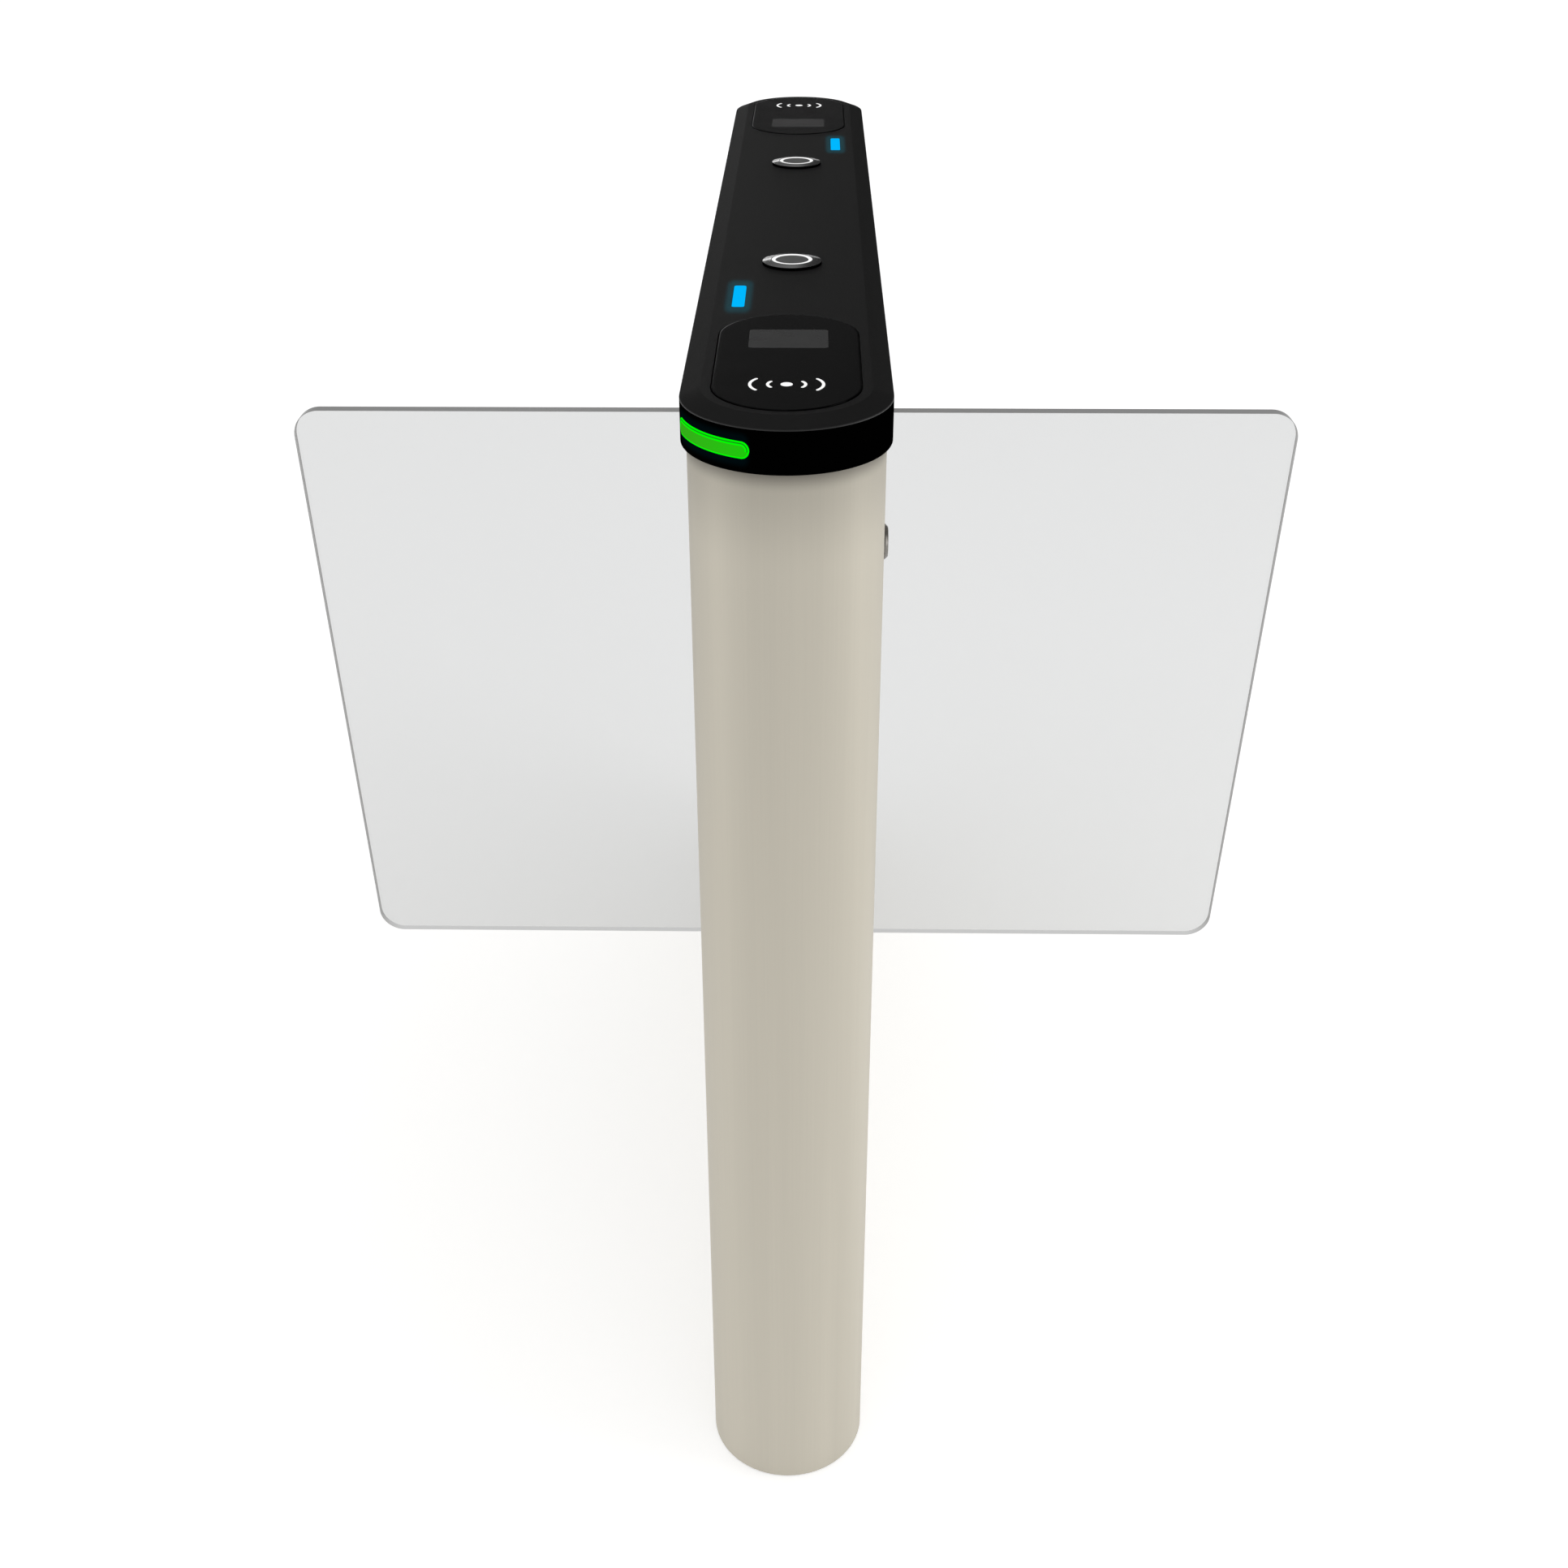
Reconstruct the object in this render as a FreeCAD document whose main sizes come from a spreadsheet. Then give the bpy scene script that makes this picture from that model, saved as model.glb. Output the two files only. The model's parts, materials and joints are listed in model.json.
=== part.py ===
import FreeCAD, Part
import os
import re
from math import atan, cos, pi, radians, sin, sqrt, tan

import Sketcher

# Swing speed gate, in millimetres. The origin is on the floor at the middle of the footprint, +Z is up,
# +Y runs along the gate from its front end to its rear end, and +X runs across the lane to the right.
# The gate looks the same after a half turn about the upright axis, so each paired piece is built once
# at the front or right and once more turned by 180 degrees.

Vector = FreeCAD.Vector
Rotation = FreeCAD.Rotation
UP = Vector(0, 0, 1)
TURNS = ((0, "front", "right"), (180, "rear", "left"))
SIDEWAYS = Rotation(Vector(0, 1, 0), 90)

# Driving dimensions: name, value, meaning
SIZES = (
    ("body_radius", 68, "half width of the body and radius of its round ends"),
    ("end_offset", 509, "middle of the gate to the centre of a round end"),
    ("shell_thick", 1.5, "stainless sheet of the shells and hinge trays"),
    ("floor_gap", 1, "lower edge of the shells above the floor"),
    ("seam_gap", 0.5, "joint between the front and rear shells"),
    ("shell_lap", 8, "how far the shells reach up into the cap"),
    ("base_thick", 8, "base plate"),
    ("base_gap", 0.3, "edge of the base plate to the shells"),
    ("anchor_x", 40, "anchor holes from the middle, across"),
    ("anchor_y", 400, "anchor holes from the middle, along"),
    ("anchor_radius", 7, "anchor holes"),
    ("entry_y", 250, "cable entry from the middle, along"),
    ("entry_radius", 25, "cable entry"),
    ("post_width", 60, "front and rear posts, across"),
    ("post_depth", 30, "front and rear posts, along"),
    ("post_wall", 2.5, "wall of every post"),
    ("post_y", 470, "front and rear posts from the middle"),
    ("centre_width", 50, "centre post, across"),
    ("centre_depth", 60, "centre post, along"),
    ("frame_thick", 6, "top frame plate"),
    ("frame_drop", 8, "top frame below the cap's lower edge"),
    ("frame_gap", 2.5, "edge of the top frame to the shells"),
    ("duct_radius", 35, "wiring ducts in the top frame, half width"),
    ("duct_start", 130, "centre of a duct's inner end from the middle"),
    ("duct_end", 390, "centre of a duct's outer end from the middle"),
    ("pillar_radius", 6, "pillars that carry the cap"),
    ("pillar_x", 50, "pillars from the middle, across"),
    ("pillar_y", 250, "pillars from the middle, along"),
    ("cap_bottom", 964, "lower edge of the cap above the floor"),
    ("cap_overhang", 4, "cap beyond the body"),
    ("cap_side", 31, "upright side of the cap"),
    ("bevel_height", 5, "bevel round the cap's top, upright"),
    ("bevel_width", 14, "bevel round the cap's top, across"),
    ("cap_wall", 3.2, "side wall of the cap"),
    ("roof_thick", 9, "top of the cap"),
    ("seal_height", 7, "seal between the cap and the shells"),
    ("fit_gap", 0.05, "radial clearance of fitted and running pairs"),
    ("play", 0.3, "clearance between pieces that move past each other"),
    ("plate_radius", 51, "reader plate recess, half width"),
    ("plate_inner", 392, "centre of the recess's inner end from the middle"),
    ("plate_thick", 4, "reader plate"),
    ("plate_gap", 0.8, "joint round the reader plate"),
    ("plate_proud", 0.6, "reader plate above the cap's top"),
    ("window_radius", 44, "opening under the reader plate, half width"),
    ("board_thick", 1.6, "printed circuit boards"),
    ("board_gap", 1, "reader board to the edge of its opening"),
    ("chip_size", 22, "largest part on the reader board"),
    ("chip_height", 4, "parts on the reader board"),
    ("display_width", 57, "display window, across"),
    ("display_length", 44.5, "display window, along"),
    ("display_y", 403, "middle of the display window from the middle"),
    ("display_corner", 3, "corners of the display window"),
    ("display_thick", 2, "display window"),
    ("inlay_gap", 0.15, "joint round the windows and light lenses"),
    ("lens_width", 9.4, "blue light lens, across"),
    ("lens_length", 59, "blue light lens, along"),
    ("lens_x", 39.7, "middle of the blue lens from the middle, across"),
    ("lens_y", 290, "middle of the blue lens from the middle, along"),
    ("lens_corner", 2.2, "corners of the blue light lens"),
    ("lens_thick", 4, "blue light lens"),
    ("lens_proud", 0.2, "blue light lens above the cap's top"),
    ("strip_height", 11.6, "green light strip, upright"),
    ("strip_rise", 15.3, "middle of the green strip above the cap's lower edge"),
    ("strip_start", 73, "outer end of the strip's arc from the tip of the gate, degrees"),
    ("strip_end", 23.3, "inner end of the strip's arc from the tip of the gate, degrees"),
    ("strip_proud", 0.5, "green strip beyond the cap's side"),
    ("button_y", 192, "push buttons from the middle"),
    ("bezel_radius", 24.2, "button bezel"),
    ("bezel_rim", 1.8, "upright rim of the bezel"),
    ("bezel_height", 3.5, "bezel above the cap's top"),
    ("bezel_land", 0.6, "flat between the bezel's bevel and the lit ring"),
    ("barrel_radius", 15.3, "threaded barrel of the bezel"),
    ("barrel_length", 28, "barrel below the cap's top"),
    ("ring_outer", 16.5, "lit ring, outside"),
    ("ring_inner", 13.8, "lit ring, inside"),
    ("ring_thick", 2, "lit ring"),
    ("button_slack", 0.1, "button in its bore, all round"),
    ("button_sink", 0.3, "button top below the bezel's top"),
    ("button_height", 8, "moving button head"),
    ("button_travel", 2.5, "stroke of the button"),
    ("switch_length", 28, "switch under the button"),
    ("nut_corner", 22, "hexagon nut of the button, middle to corner"),
    ("nut_height", 4, "hexagon nuts"),
    ("lock_y", 440, "lock from the middle, along"),
    ("lock_drop", 104, "lock below the cap's lower edge"),
    ("lock_head", 13.2, "lock head, radius"),
    ("lock_proud", 5.6, "lock head beyond the shell"),
    ("lock_bevel", 2.2, "bevel of the lock head"),
    ("lock_barrel", 9.5, "lock barrel, radius"),
    ("lock_length", 24, "lock barrel inside the shell"),
    ("lock_nut", 15, "hexagon nut of the lock, middle to corner"),
    ("plug_radius", 6, "turning plug of the lock"),
    ("key_width", 1.8, "key slot"),
    ("key_length", 8.5, "key slot"),
    ("key_depth", 4, "key slot"),
    ("cam_length", 33, "lock cam from its axis"),
    ("cam_width", 18, "lock cam"),
    ("cam_thick", 3, "lock cam"),
    ("keeper_drop", 10, "keeper's top below the lock's axis"),
    ("keeper_height", 28, "keeper on the post"),
    ("hinge_offset", 8.5, "hinge axis beyond the body's side"),
    ("column_radius", 13, "wing column"),
    ("column_end", 7, "solid ends of the column past the glass"),
    ("journal_radius", 7, "turned ends of the column"),
    ("journal_rise", 2, "upper journal past its bracket"),
    ("glass_thick", 12, "glass wing"),
    ("glass_bottom", 204, "lower edge of the glass above the floor"),
    ("glass_top", 811, "upper edge of the glass above the floor"),
    ("glass_reach", 485.5, "upper outer corner of the glass from the middle"),
    ("glass_rake", 21.5, "lower outer corner set in from the upper one"),
    ("glass_corner", 26, "outer corners of the glass"),
    ("glass_seat", 5, "glass past the hinge axis, into the column"),
    ("gasket_thick", 1, "gasket between the glass and the column"),
    ("gasket_lip", 0.4, "gasket beyond the column's mouth"),
    ("bush_wall", 3, "hinge bushes"),
    ("bush_flange", 2.5, "flange of the hinge bushes"),
    ("bush_lip", 2, "flange beyond the bush's wall"),
    ("lug_thick", 18, "bracket lugs that hold the bushes"),
    ("foot_thick", 12, "lower plate of the gear case"),
    ("nose_radius", 13.3, "round nose of the brackets"),
    ("case_wall", 1.1, "nose wall round the wing gear"),
    ("flange_thick", 5, "bracket flange on the centre post"),
    ("flange_half", 26, "bracket flange, half width"),
    ("flange_margin", 10, "upper bracket flange past its lug"),
    ("bolt_corner", 5.8, "hexagon bolt heads, middle to corner"),
    ("bolt_height", 4, "hexagon bolt heads"),
    ("bolt_y", 20, "bracket bolts from the middle, along"),
    ("bolt_z", 14, "bracket bolts from the bracket's middle, upright"),
    ("bay_half", 26, "hinge tray, half width"),
    ("bay_depth", 8, "hinge tray"),
    ("bay_margin", 5, "hinge tray past the brackets"),
    ("tray_gap", 0.2, "hinge tray to the back of the shells"),
    ("gear_module", 1.25, "pitch diameter of a gear over its teeth"),
    ("wing_teeth", 16, "gear on the wing column"),
    ("drive_teeth", 28, "gear on the motor's shaft"),
    ("gear_thick", 10, "both gears"),
    ("gear_space", 16, "gear case, inside height"),
    ("backlash", 0.2, "play between the teeth"),
    ("shaft_radius", 4, "motor shaft"),
    ("shaft_depth", 14, "motor shaft inside the motor"),
    ("motor_radius", 15, "motor"),
    ("motor_length", 58, "motor under its gearbox"),
    ("gearbox_side", 32, "square gearbox on the motor"),
    ("gearbox_height", 34, "square gearbox on the motor"),
    ("pilot_radius", 8, "gearbox pilot under the gear case"),
    ("pilot_length", 9, "gearbox pilot"),
    ("panel_thick", 2, "electronics plate"),
    ("panel_bottom", 320, "electronics plate above the floor"),
    ("panel_height", 420, "electronics plate"),
    ("control_width", 120, "control board, along"),
    ("control_height", 220, "control board"),
    ("control_stand", 6, "control board off its plate"),
    ("standoff_corner", 3.5, "hexagon standoffs, middle to corner"),
    ("relay_depth", 16, "parts on the control board"),
    ("supply_width", 98, "power supply, along"),
    ("supply_height", 199, "power supply"),
    ("supply_depth", 38, "power supply"),
    ("unit_y", 250, "board and supply from the middle, along"),
    ("sensor_radius", 7, "beam sensor lenses"),
    ("sensor_side", 22, "square housing of a beam sensor"),
    ("sensor_depth", 12, "square housing of a beam sensor"),
    ("sensor_proud", 0.4, "beam sensor lenses beyond the shell"),
    ("sensor_y", 250, "beam sensors from the middle, along"),
    ("sensor_low", 330, "lower beam sensors above the floor"),
    ("sensor_high", 620, "upper beam sensors above the floor"),
)

# Places and sizes that follow from the driving dimensions: name, formula
PLACES = (
    ("shell_inner", "body_radius - shell_thick"),
    ("shell_top", "cap_bottom + shell_lap"),
    ("shell_height", "shell_top - floor_gap"),
    ("reach", "end_offset + body_radius"),
    ("base_radius", "shell_inner - base_gap"),
    ("frame_radius", "shell_inner - frame_gap"),
    ("frame_top", "cap_bottom - frame_drop"),
    ("post_top", "frame_top - frame_thick"),
    ("cap_radius", "body_radius + cap_overhang"),
    ("cap_edge", "cap_bottom + cap_side"),
    ("cap_top", "cap_edge + bevel_height"),
    ("cap_flat", "cap_radius - bevel_width"),
    ("cap_inner", "cap_radius - cap_wall"),
    ("roof_under", "cap_top - roof_thick"),
    ("seal_inner", "body_radius + fit_gap"),
    ("seal_outer", "cap_inner - inlay_gap"),
    ("seal_bottom", "shell_top - seal_height"),
    ("strip_z", "cap_bottom + strip_rise"),
    ("plate_edge", "plate_radius - plate_gap"),
    ("plate_depth", "plate_thick - plate_proud"),
    ("plate_seat", "cap_top - plate_depth"),
    ("plate_top", "cap_top + plate_proud"),
    ("board_radius", "window_radius - board_gap"),
    ("display_low", "display_y - display_length / 2"),
    ("lens_depth", "lens_thick - lens_proud"),
    ("bezel_hole", "barrel_radius + play"),
    ("bevel_inner", "ring_outer + bezel_land"),
    ("ring_seat", "bezel_height - ring_thick"),
    ("groove_outer", "ring_outer + fit_gap"),
    ("button_radius", "ring_inner - button_slack"),
    ("button_top", "bezel_height - button_sink"),
    ("button_low", "button_height - button_top"),
    ("switch_top", "button_low + button_travel + play"),
    ("switch_low", "switch_top + switch_length"),
    ("lock_z", "cap_bottom - lock_drop"),
    ("lock_rim", "lock_proud - lock_bevel"),
    ("lock_crown", "lock_head - lock_bevel"),
    ("lock_bore", "plug_radius + fit_gap"),
    ("lock_hole", "lock_barrel + play"),
    ("plug_face", "lock_proud - play"),
    ("plug_step", "lock_length + play"),
    ("plug_end", "plug_step + cam_thick + play"),
    ("hinge_x", "body_radius + hinge_offset"),
    ("bush_bore", "journal_radius + fit_gap"),
    ("bush_radius", "bush_bore + bush_wall"),
    ("bush_rim", "bush_radius + bush_lip"),
    ("slot_bottom", "glass_bottom - gasket_thick"),
    ("slot_top", "glass_top + gasket_thick"),
    ("slot_half", "glass_thick / 2 + gasket_thick"),
    ("slot_root", "glass_seat + gasket_thick"),
    ("slot_mouth", "sqrt(column_radius * column_radius - slot_half * slot_half)"),
    ("column_bottom", "slot_bottom - column_end"),
    ("column_top", "slot_top + column_end"),
    ("lug_top", "column_bottom - play - bush_flange"),
    ("gear_roof", "lug_top - lug_thick"),
    ("gear_floor", "gear_roof - gear_space"),
    ("case_bottom", "gear_floor - foot_thick"),
    ("case_height", "lug_top - case_bottom"),
    ("case_middle", "case_bottom + case_height / 2"),
    ("gear_bottom", "gear_floor + (gear_space - gear_thick) / 2"),
    ("ear_bottom", "column_top + play + bush_flange"),
    ("ear_top", "ear_bottom + lug_thick"),
    ("ear_middle", "ear_bottom + lug_thick / 2"),
    ("journal_top", "ear_top + journal_rise"),
    ("bay_bottom", "case_bottom - bay_margin"),
    ("bay_top", "journal_top + bay_margin"),
    ("bay_height", "bay_top - bay_bottom"),
    ("tray_front", "shell_inner - tray_gap"),
    ("tray_floor", "body_radius - bay_depth"),
    ("tray_back", "tray_floor - shell_thick"),
    ("post_side", "centre_width / 2"),
    ("wing_pitch", "gear_module * wing_teeth / 2"),
    ("drive_pitch", "gear_module * drive_teeth / 2"),
    ("drive_x", "hinge_x - wing_pitch - drive_pitch"),
    ("drive_tip", "drive_pitch + gear_module"),
    ("drive_room", "drive_tip + 2 * play"),
    ("gear_room", "nose_radius - case_wall"),
    ("motor_top", "case_bottom - pilot_length"),
    ("gearbox_bottom", "motor_top - gearbox_height"),
    ("glass_inner", "-glass_seat"),
    ("glass_outer_top", "glass_reach - hinge_x"),
    ("glass_outer_low", "glass_outer_top - glass_rake"),
    ("panel_start", "centre_depth / 2"),
    ("panel_end", "post_y - post_depth / 2"),
    ("panel_side", "panel_thick / 2"),
    ("panel_middle", "panel_bottom + panel_height / 2"),
)

doc = FreeCAD.newDocument("swing_speed_gate")
SIZE_NAMES = {row[0] for row in SIZES}
PLACE_NAMES = {row[0] for row in PLACES}


def qualify(expression):
    """Puts the sheet's name before each named value of an expression."""
    def sheet_name(match):
        word = match.group(0)
        if word in SIZE_NAMES:
            return "Sizes." + word
        return "Places." + word if word in PLACE_NAMES else word
    return re.sub(r"[A-Za-z_]\w*", sheet_name, expression)


def fill_sheet(name, rows):
    """Writes one named cell per row of (name, content)."""
    sheet = doc.addObject("Spreadsheet::Sheet", name)
    for line, (alias, content) in enumerate(rows, start=1):
        sheet.set(f"A{line}", alias)
        sheet.set(f"B{line}", content)
        sheet.setAlias(f"B{line}", alias)
    return sheet


sizes = fill_sheet("Sizes", [(name, str(size)) for name, size, meaning in SIZES])
doc.recompute()
places = fill_sheet("Places", [(name, "=" + qualify(formula)) for name, formula in PLACES])
doc.recompute()


def number(name):
    """The value of a named size or place, with an optional minus sign."""
    if name.startswith("-"):
        return -number(name[1:])
    if name == "0":
        return 0.0
    return float((sizes if name in SIZE_NAMES else places).get(name))


def bind(thing, path, expression):
    """Ties one property of an object to an expression of named values."""
    thing.setExpression(path, qualify(expression))


def place(thing, turn, x="0", y="0", z="0", tilt=Rotation()):
    """Stands a piece at a named place, then turns it about the gate's upright axis."""
    thing.Placement = FreeCAD.Placement(Vector(), Rotation(UP, turn).multiply(tilt))
    sign = "-" if turn else ""
    bind(thing, "Placement.Base.x", f"{sign}({x})")
    bind(thing, "Placement.Base.y", f"{sign}({y})")
    bind(thing, "Placement.Base.z", z)
    return thing


# Solids from primitives

def box(x, y, z, length, width, height):
    """A box from its lowest corner and its three sides."""
    solid = doc.addObject("Part::Box", "Box")
    for path, expression in zip(("Length", "Width", "Height"), (length, width, height)):
        bind(solid, path, expression)
    return place(solid, 0, x, y, z)


def wide_box(x, half_width, z, length, height):
    """A box that lies evenly about the XZ plane."""
    return box(x, f"-({half_width})", z, length, f"2 * ({half_width})", height)


def cylinder(x, y, z, radius, height, tilt=Rotation(), angle="360"):
    """A cylinder, or a sector of one, from the centre of its lower face."""
    solid = doc.addObject("Part::Cylinder", "Cylinder")
    bind(solid, "Radius", radius)
    bind(solid, "Height", height)
    bind(solid, "Angle", angle)
    return place(solid, 0, x, y, z, tilt)


def hexagon(x, y, z, corner, height, tilt=Rotation()):
    """A hexagonal prism from the centre of its lower face, as of a nut or a bolt head."""
    solid = doc.addObject("Part::Prism", "Hexagon")
    solid.Polygon = 6
    bind(solid, "Circumradius", corner)
    bind(solid, "Height", height)
    return place(solid, 0, x, y, z, tilt)


def combine(kind, property_name, pieces):
    """A boolean or group of several objects."""
    result = doc.addObject(kind, kind.split("::")[1])
    setattr(result, property_name, list(pieces))
    return result


def fuse(*pieces):
    return combine("Part::MultiFuse", "Shapes", pieces)


def common(*pieces):
    return combine("Part::MultiCommon", "Shapes", pieces)


def group(*pieces):
    return combine("Part::Compound", "Links", pieces)


def cut(base, *tools):
    """The base less every tool."""
    result = doc.addObject("Part::Cut", "Cut")
    result.Base = base
    result.Tool = tools[0] if len(tools) == 1 else group(*tools)
    return result


# Solids from sketches

def new_body():
    return doc.addObject("PartDesign::Body", "Body")


def new_sketch(body, plane="XY_Plane", height="0"):
    """A sketch on one of the body's own planes, at a height along its normal."""
    sketch = body.newObject("Sketcher::SketchObject", "Sketch")
    origin = [feature for feature in body.Origin.OriginFeatures if feature.Role == plane]
    sketch.AttachmentSupport = [(origin[0], "")]
    sketch.MapMode = "FlatFace"
    bind(sketch, "AttachmentOffset.Base.z", height)
    return sketch


def dimension(sketch, kind, elements, name):
    """A dimension of a sketch that follows a named value."""
    index = sketch.addConstraint(Sketcher.Constraint(kind, *elements, number(name)))
    bind(sketch, f"Constraints[{index}]", name)


def locate(sketch, geometry, point, x, y):
    """Fixes a point of a sketch at two named coordinates."""
    for kind, name, axis in (("DistanceX", x, -2), ("DistanceY", y, -1)):
        if name == "0":
            sketch.addConstraint(Sketcher.Constraint("PointOnObject", geometry, point, axis))
        else:
            dimension(sketch, kind, (-1, 1, geometry, point), name)


def add_polygon(sketch, corners):
    """A closed outline of straight lines through named corners."""
    spots = [Vector(number(x), number(y), 0) for x, y in corners]
    lines = []
    for start, end in zip(spots, spots[1:] + spots[:1]):
        lines.append(sketch.addGeometry(Part.LineSegment(start, end), False))
    for index, (x, y) in enumerate(corners):
        sketch.addConstraint(Sketcher.Constraint("Coincident", lines[index - 1], 2, lines[index], 1))
        locate(sketch, lines[index], 1, x, y)


def add_slot(sketch, radius, low, high):
    """An obround outline: two half circles with centres at low and high on the Y axis."""
    r, y0, y1 = (number(name) for name in (radius, low, high))
    upper = sketch.addGeometry(Part.ArcOfCircle(Part.Circle(Vector(0, y1, 0), UP, r), 0, pi), False)
    left = sketch.addGeometry(Part.LineSegment(Vector(-r, y1, 0), Vector(-r, y0, 0)), False)
    lower = sketch.addGeometry(Part.ArcOfCircle(Part.Circle(Vector(0, y0, 0), UP, r), pi, 2 * pi), False)
    right = sketch.addGeometry(Part.LineSegment(Vector(r, y0, 0), Vector(r, y1, 0)), False)
    for first, second in ((upper, left), (left, lower), (lower, right), (right, upper)):
        sketch.addConstraint(Sketcher.Constraint("Tangent", first, 2, second, 1))
    sketch.addConstraint(Sketcher.Constraint("Equal", upper, lower))
    sketch.addConstraint(Sketcher.Constraint("Vertical", left))
    dimension(sketch, "Radius", (upper,), radius)
    locate(sketch, upper, 3, "0", high)
    dimension(sketch, "DistanceY", (-1, 1, lower, 3), low)


def add_circle(sketch, x, y, radius):
    """A circle at a named place."""
    centre = Vector(number(x), number(y), 0)
    circle = sketch.addGeometry(Part.Circle(centre, UP, number(radius)), False)
    dimension(sketch, "Radius", (circle,), radius)
    locate(sketch, circle, 3, x, y)


def extrude(body, sketch, length, kind="Pad", reverse=False, both_ways=False):
    """A pad or pocket of a sketch. A pocket cuts against the sketch's normal unless it is reversed."""
    feature = body.newObject("PartDesign::" + kind, kind)
    feature.Profile = sketch
    feature.Reversed = reverse
    if both_ways:
        feature.SideType = "Symmetric"
    bind(feature, "Length", length)
    return feature


def slot_pad(radius, low, high, height, length):
    """A body with one obround pad."""
    body = new_body()
    sketch = new_sketch(body, height=height)
    add_slot(sketch, radius, low, high)
    extrude(body, sketch, length)
    return body


def slot_ring(outer, inner, height, length):
    """A body with an obround ring as long as the gate."""
    body = new_body()
    sketch = new_sketch(body, height=height)
    add_slot(sketch, outer, "-end_offset", "end_offset")
    add_slot(sketch, inner, "-end_offset", "end_offset")
    extrude(body, sketch, length)
    return body


def slot_pocket(body, radius, spans, height, depth, reverse=False):
    """Cuts obround pockets into a body: each span is (low, high)."""
    sketch = new_sketch(body, height=height)
    for low, high in spans:
        add_slot(sketch, radius, low, high)
    return extrude(body, sketch, depth, "Pocket", reverse)


def revolve(corners):
    """A body turned about its Z axis from named (radius, height) corners."""
    body = new_body()
    sketch = new_sketch(body, "XZ_Plane")
    add_polygon(sketch, corners)
    turned = body.newObject("PartDesign::Revolution", "Revolution")
    turned.Profile = sketch
    turned.ReferenceAxis = (sketch, ["V_Axis"])
    turned.Angle = 360
    return body


NODES = {}


def finish(label, solid, turn=0):
    """Names a piece, and turns it about the gate's upright axis."""
    solid.Label = label
    if turn:
        solid.Placement = FreeCAD.Placement(Vector(), Rotation(UP, turn)).multiply(solid.Placement)
    NODES[label] = solid


def both_signs(name):
    return name, "-" + name


# Base and frame

def build_base():
    body = slot_pad("base_radius", "-end_offset", "end_offset", "0", "base_thick")
    holes = new_sketch(body, height="base_thick")
    for x in both_signs("anchor_x"):
        for y in both_signs("anchor_y"):
            add_circle(holes, x, y, "anchor_radius")
    add_circle(holes, "0", "-entry_y", "entry_radius")
    extrude(body, holes, "base_thick", "Pocket")
    finish("base_plate", body)


def tube(width, depth, y):
    """A square tube from the base plate to the top frame."""
    height = "post_top - base_thick"
    outside = box(f"-{width} / 2", f"{y} - {depth} / 2", "base_thick", width, depth, height)
    bore = box(f"-{width} / 2 + post_wall", f"{y} - {depth} / 2 + post_wall", "base_thick",
               f"{width} - 2 * post_wall", f"{depth} - 2 * post_wall", height)
    return cut(outside, bore)


def build_posts():
    finish("centre_post", tube("centre_width", "centre_depth", "0"))
    for turn, end, side in TURNS:
        keeper_y = "-post_y + post_depth / 2"
        keeper_room = "post_y - post_depth / 2 - lock_y - cam_width / 2 - play"
        keeper_reach = "body_radius - plug_step - post_width / 2 + play"
        keeper = box("post_width / 2", keeper_y, "lock_z - keeper_drop - keeper_height",
                     keeper_reach, keeper_room, "keeper_height")
        root = box("post_width / 2 - post_wall", "-post_y - post_depth / 2 + post_wall",
                   "lock_z - keeper_drop - keeper_height", "post_wall", "post_depth - post_wall",
                   "keeper_height")
        web = box("post_width / 2", "-post_y", "lock_z - keeper_drop - keeper_height",
                  keeper_reach, "post_depth / 2", "keeper_height")
        finish(f"{end}_post", fuse(tube("post_width", "post_depth", "-post_y"), root, web, keeper), turn)


def build_top_frame():
    body = slot_pad("frame_radius", "-end_offset", "end_offset", "post_top", "frame_thick")
    ducts = (("-duct_end", "-duct_start"), ("duct_start", "duct_end"))
    slot_pocket(body, "duct_radius", ducts, "frame_top", "frame_thick")
    finish("top_frame", body)
    pillars = [cylinder(x, y, "frame_top", "pillar_radius", "roof_under - frame_top")
               for x in both_signs("pillar_x") for y in both_signs("pillar_y")]
    finish("cap_pillars", group(*pillars))


# Shells, trays and sensors

SENSOR_HEIGHTS = ("sensor_low", "sensor_high")


def build_shells():
    span = "2 * cap_radius"
    for turn, end, side in TURNS:
        ring = slot_ring("body_radius", "shell_inner", "floor_gap", "shell_height")
        other_half = box("-cap_radius", "-seam_gap / 2", "0", span, "reach + seam_gap", "cap_top")
        window = box("-cap_radius", "-bay_half", "bay_bottom", span, "bay_half", "bay_height")
        tools = [other_half, window]
        tools.append(cylinder("0", "-lock_y", "lock_z", "lock_hole", "cap_radius", SIDEWAYS))
        for z in SENSOR_HEIGHTS:
            tools.append(cylinder("-cap_radius", "-sensor_y", z, "sensor_radius + inlay_gap", span,
                                  SIDEWAYS))
        finish(f"{end}_shell", cut(ring, *tools), turn)


def build_trays():
    for turn, end, side in TURNS:
        wall = "shell_thick"
        outside = wide_box("tray_back", f"bay_half + {wall}", f"bay_bottom - {wall}",
                           "tray_front - tray_back", f"bay_height + 2 * {wall}")
        inside = wide_box("tray_floor", "bay_half", "bay_bottom", "bay_depth", "bay_height")
        ear_hole = wide_box("tray_back", "nose_radius + play", "ear_bottom - play", wall,
                            "lug_thick + 2 * play")
        case_hole = wide_box("tray_back", "drive_room", "case_bottom - play", wall,
                             "case_height + 2 * play")
        finish(f"hinge_tray_{side}", cut(outside, inside, ear_hole, case_hole), turn)


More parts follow.
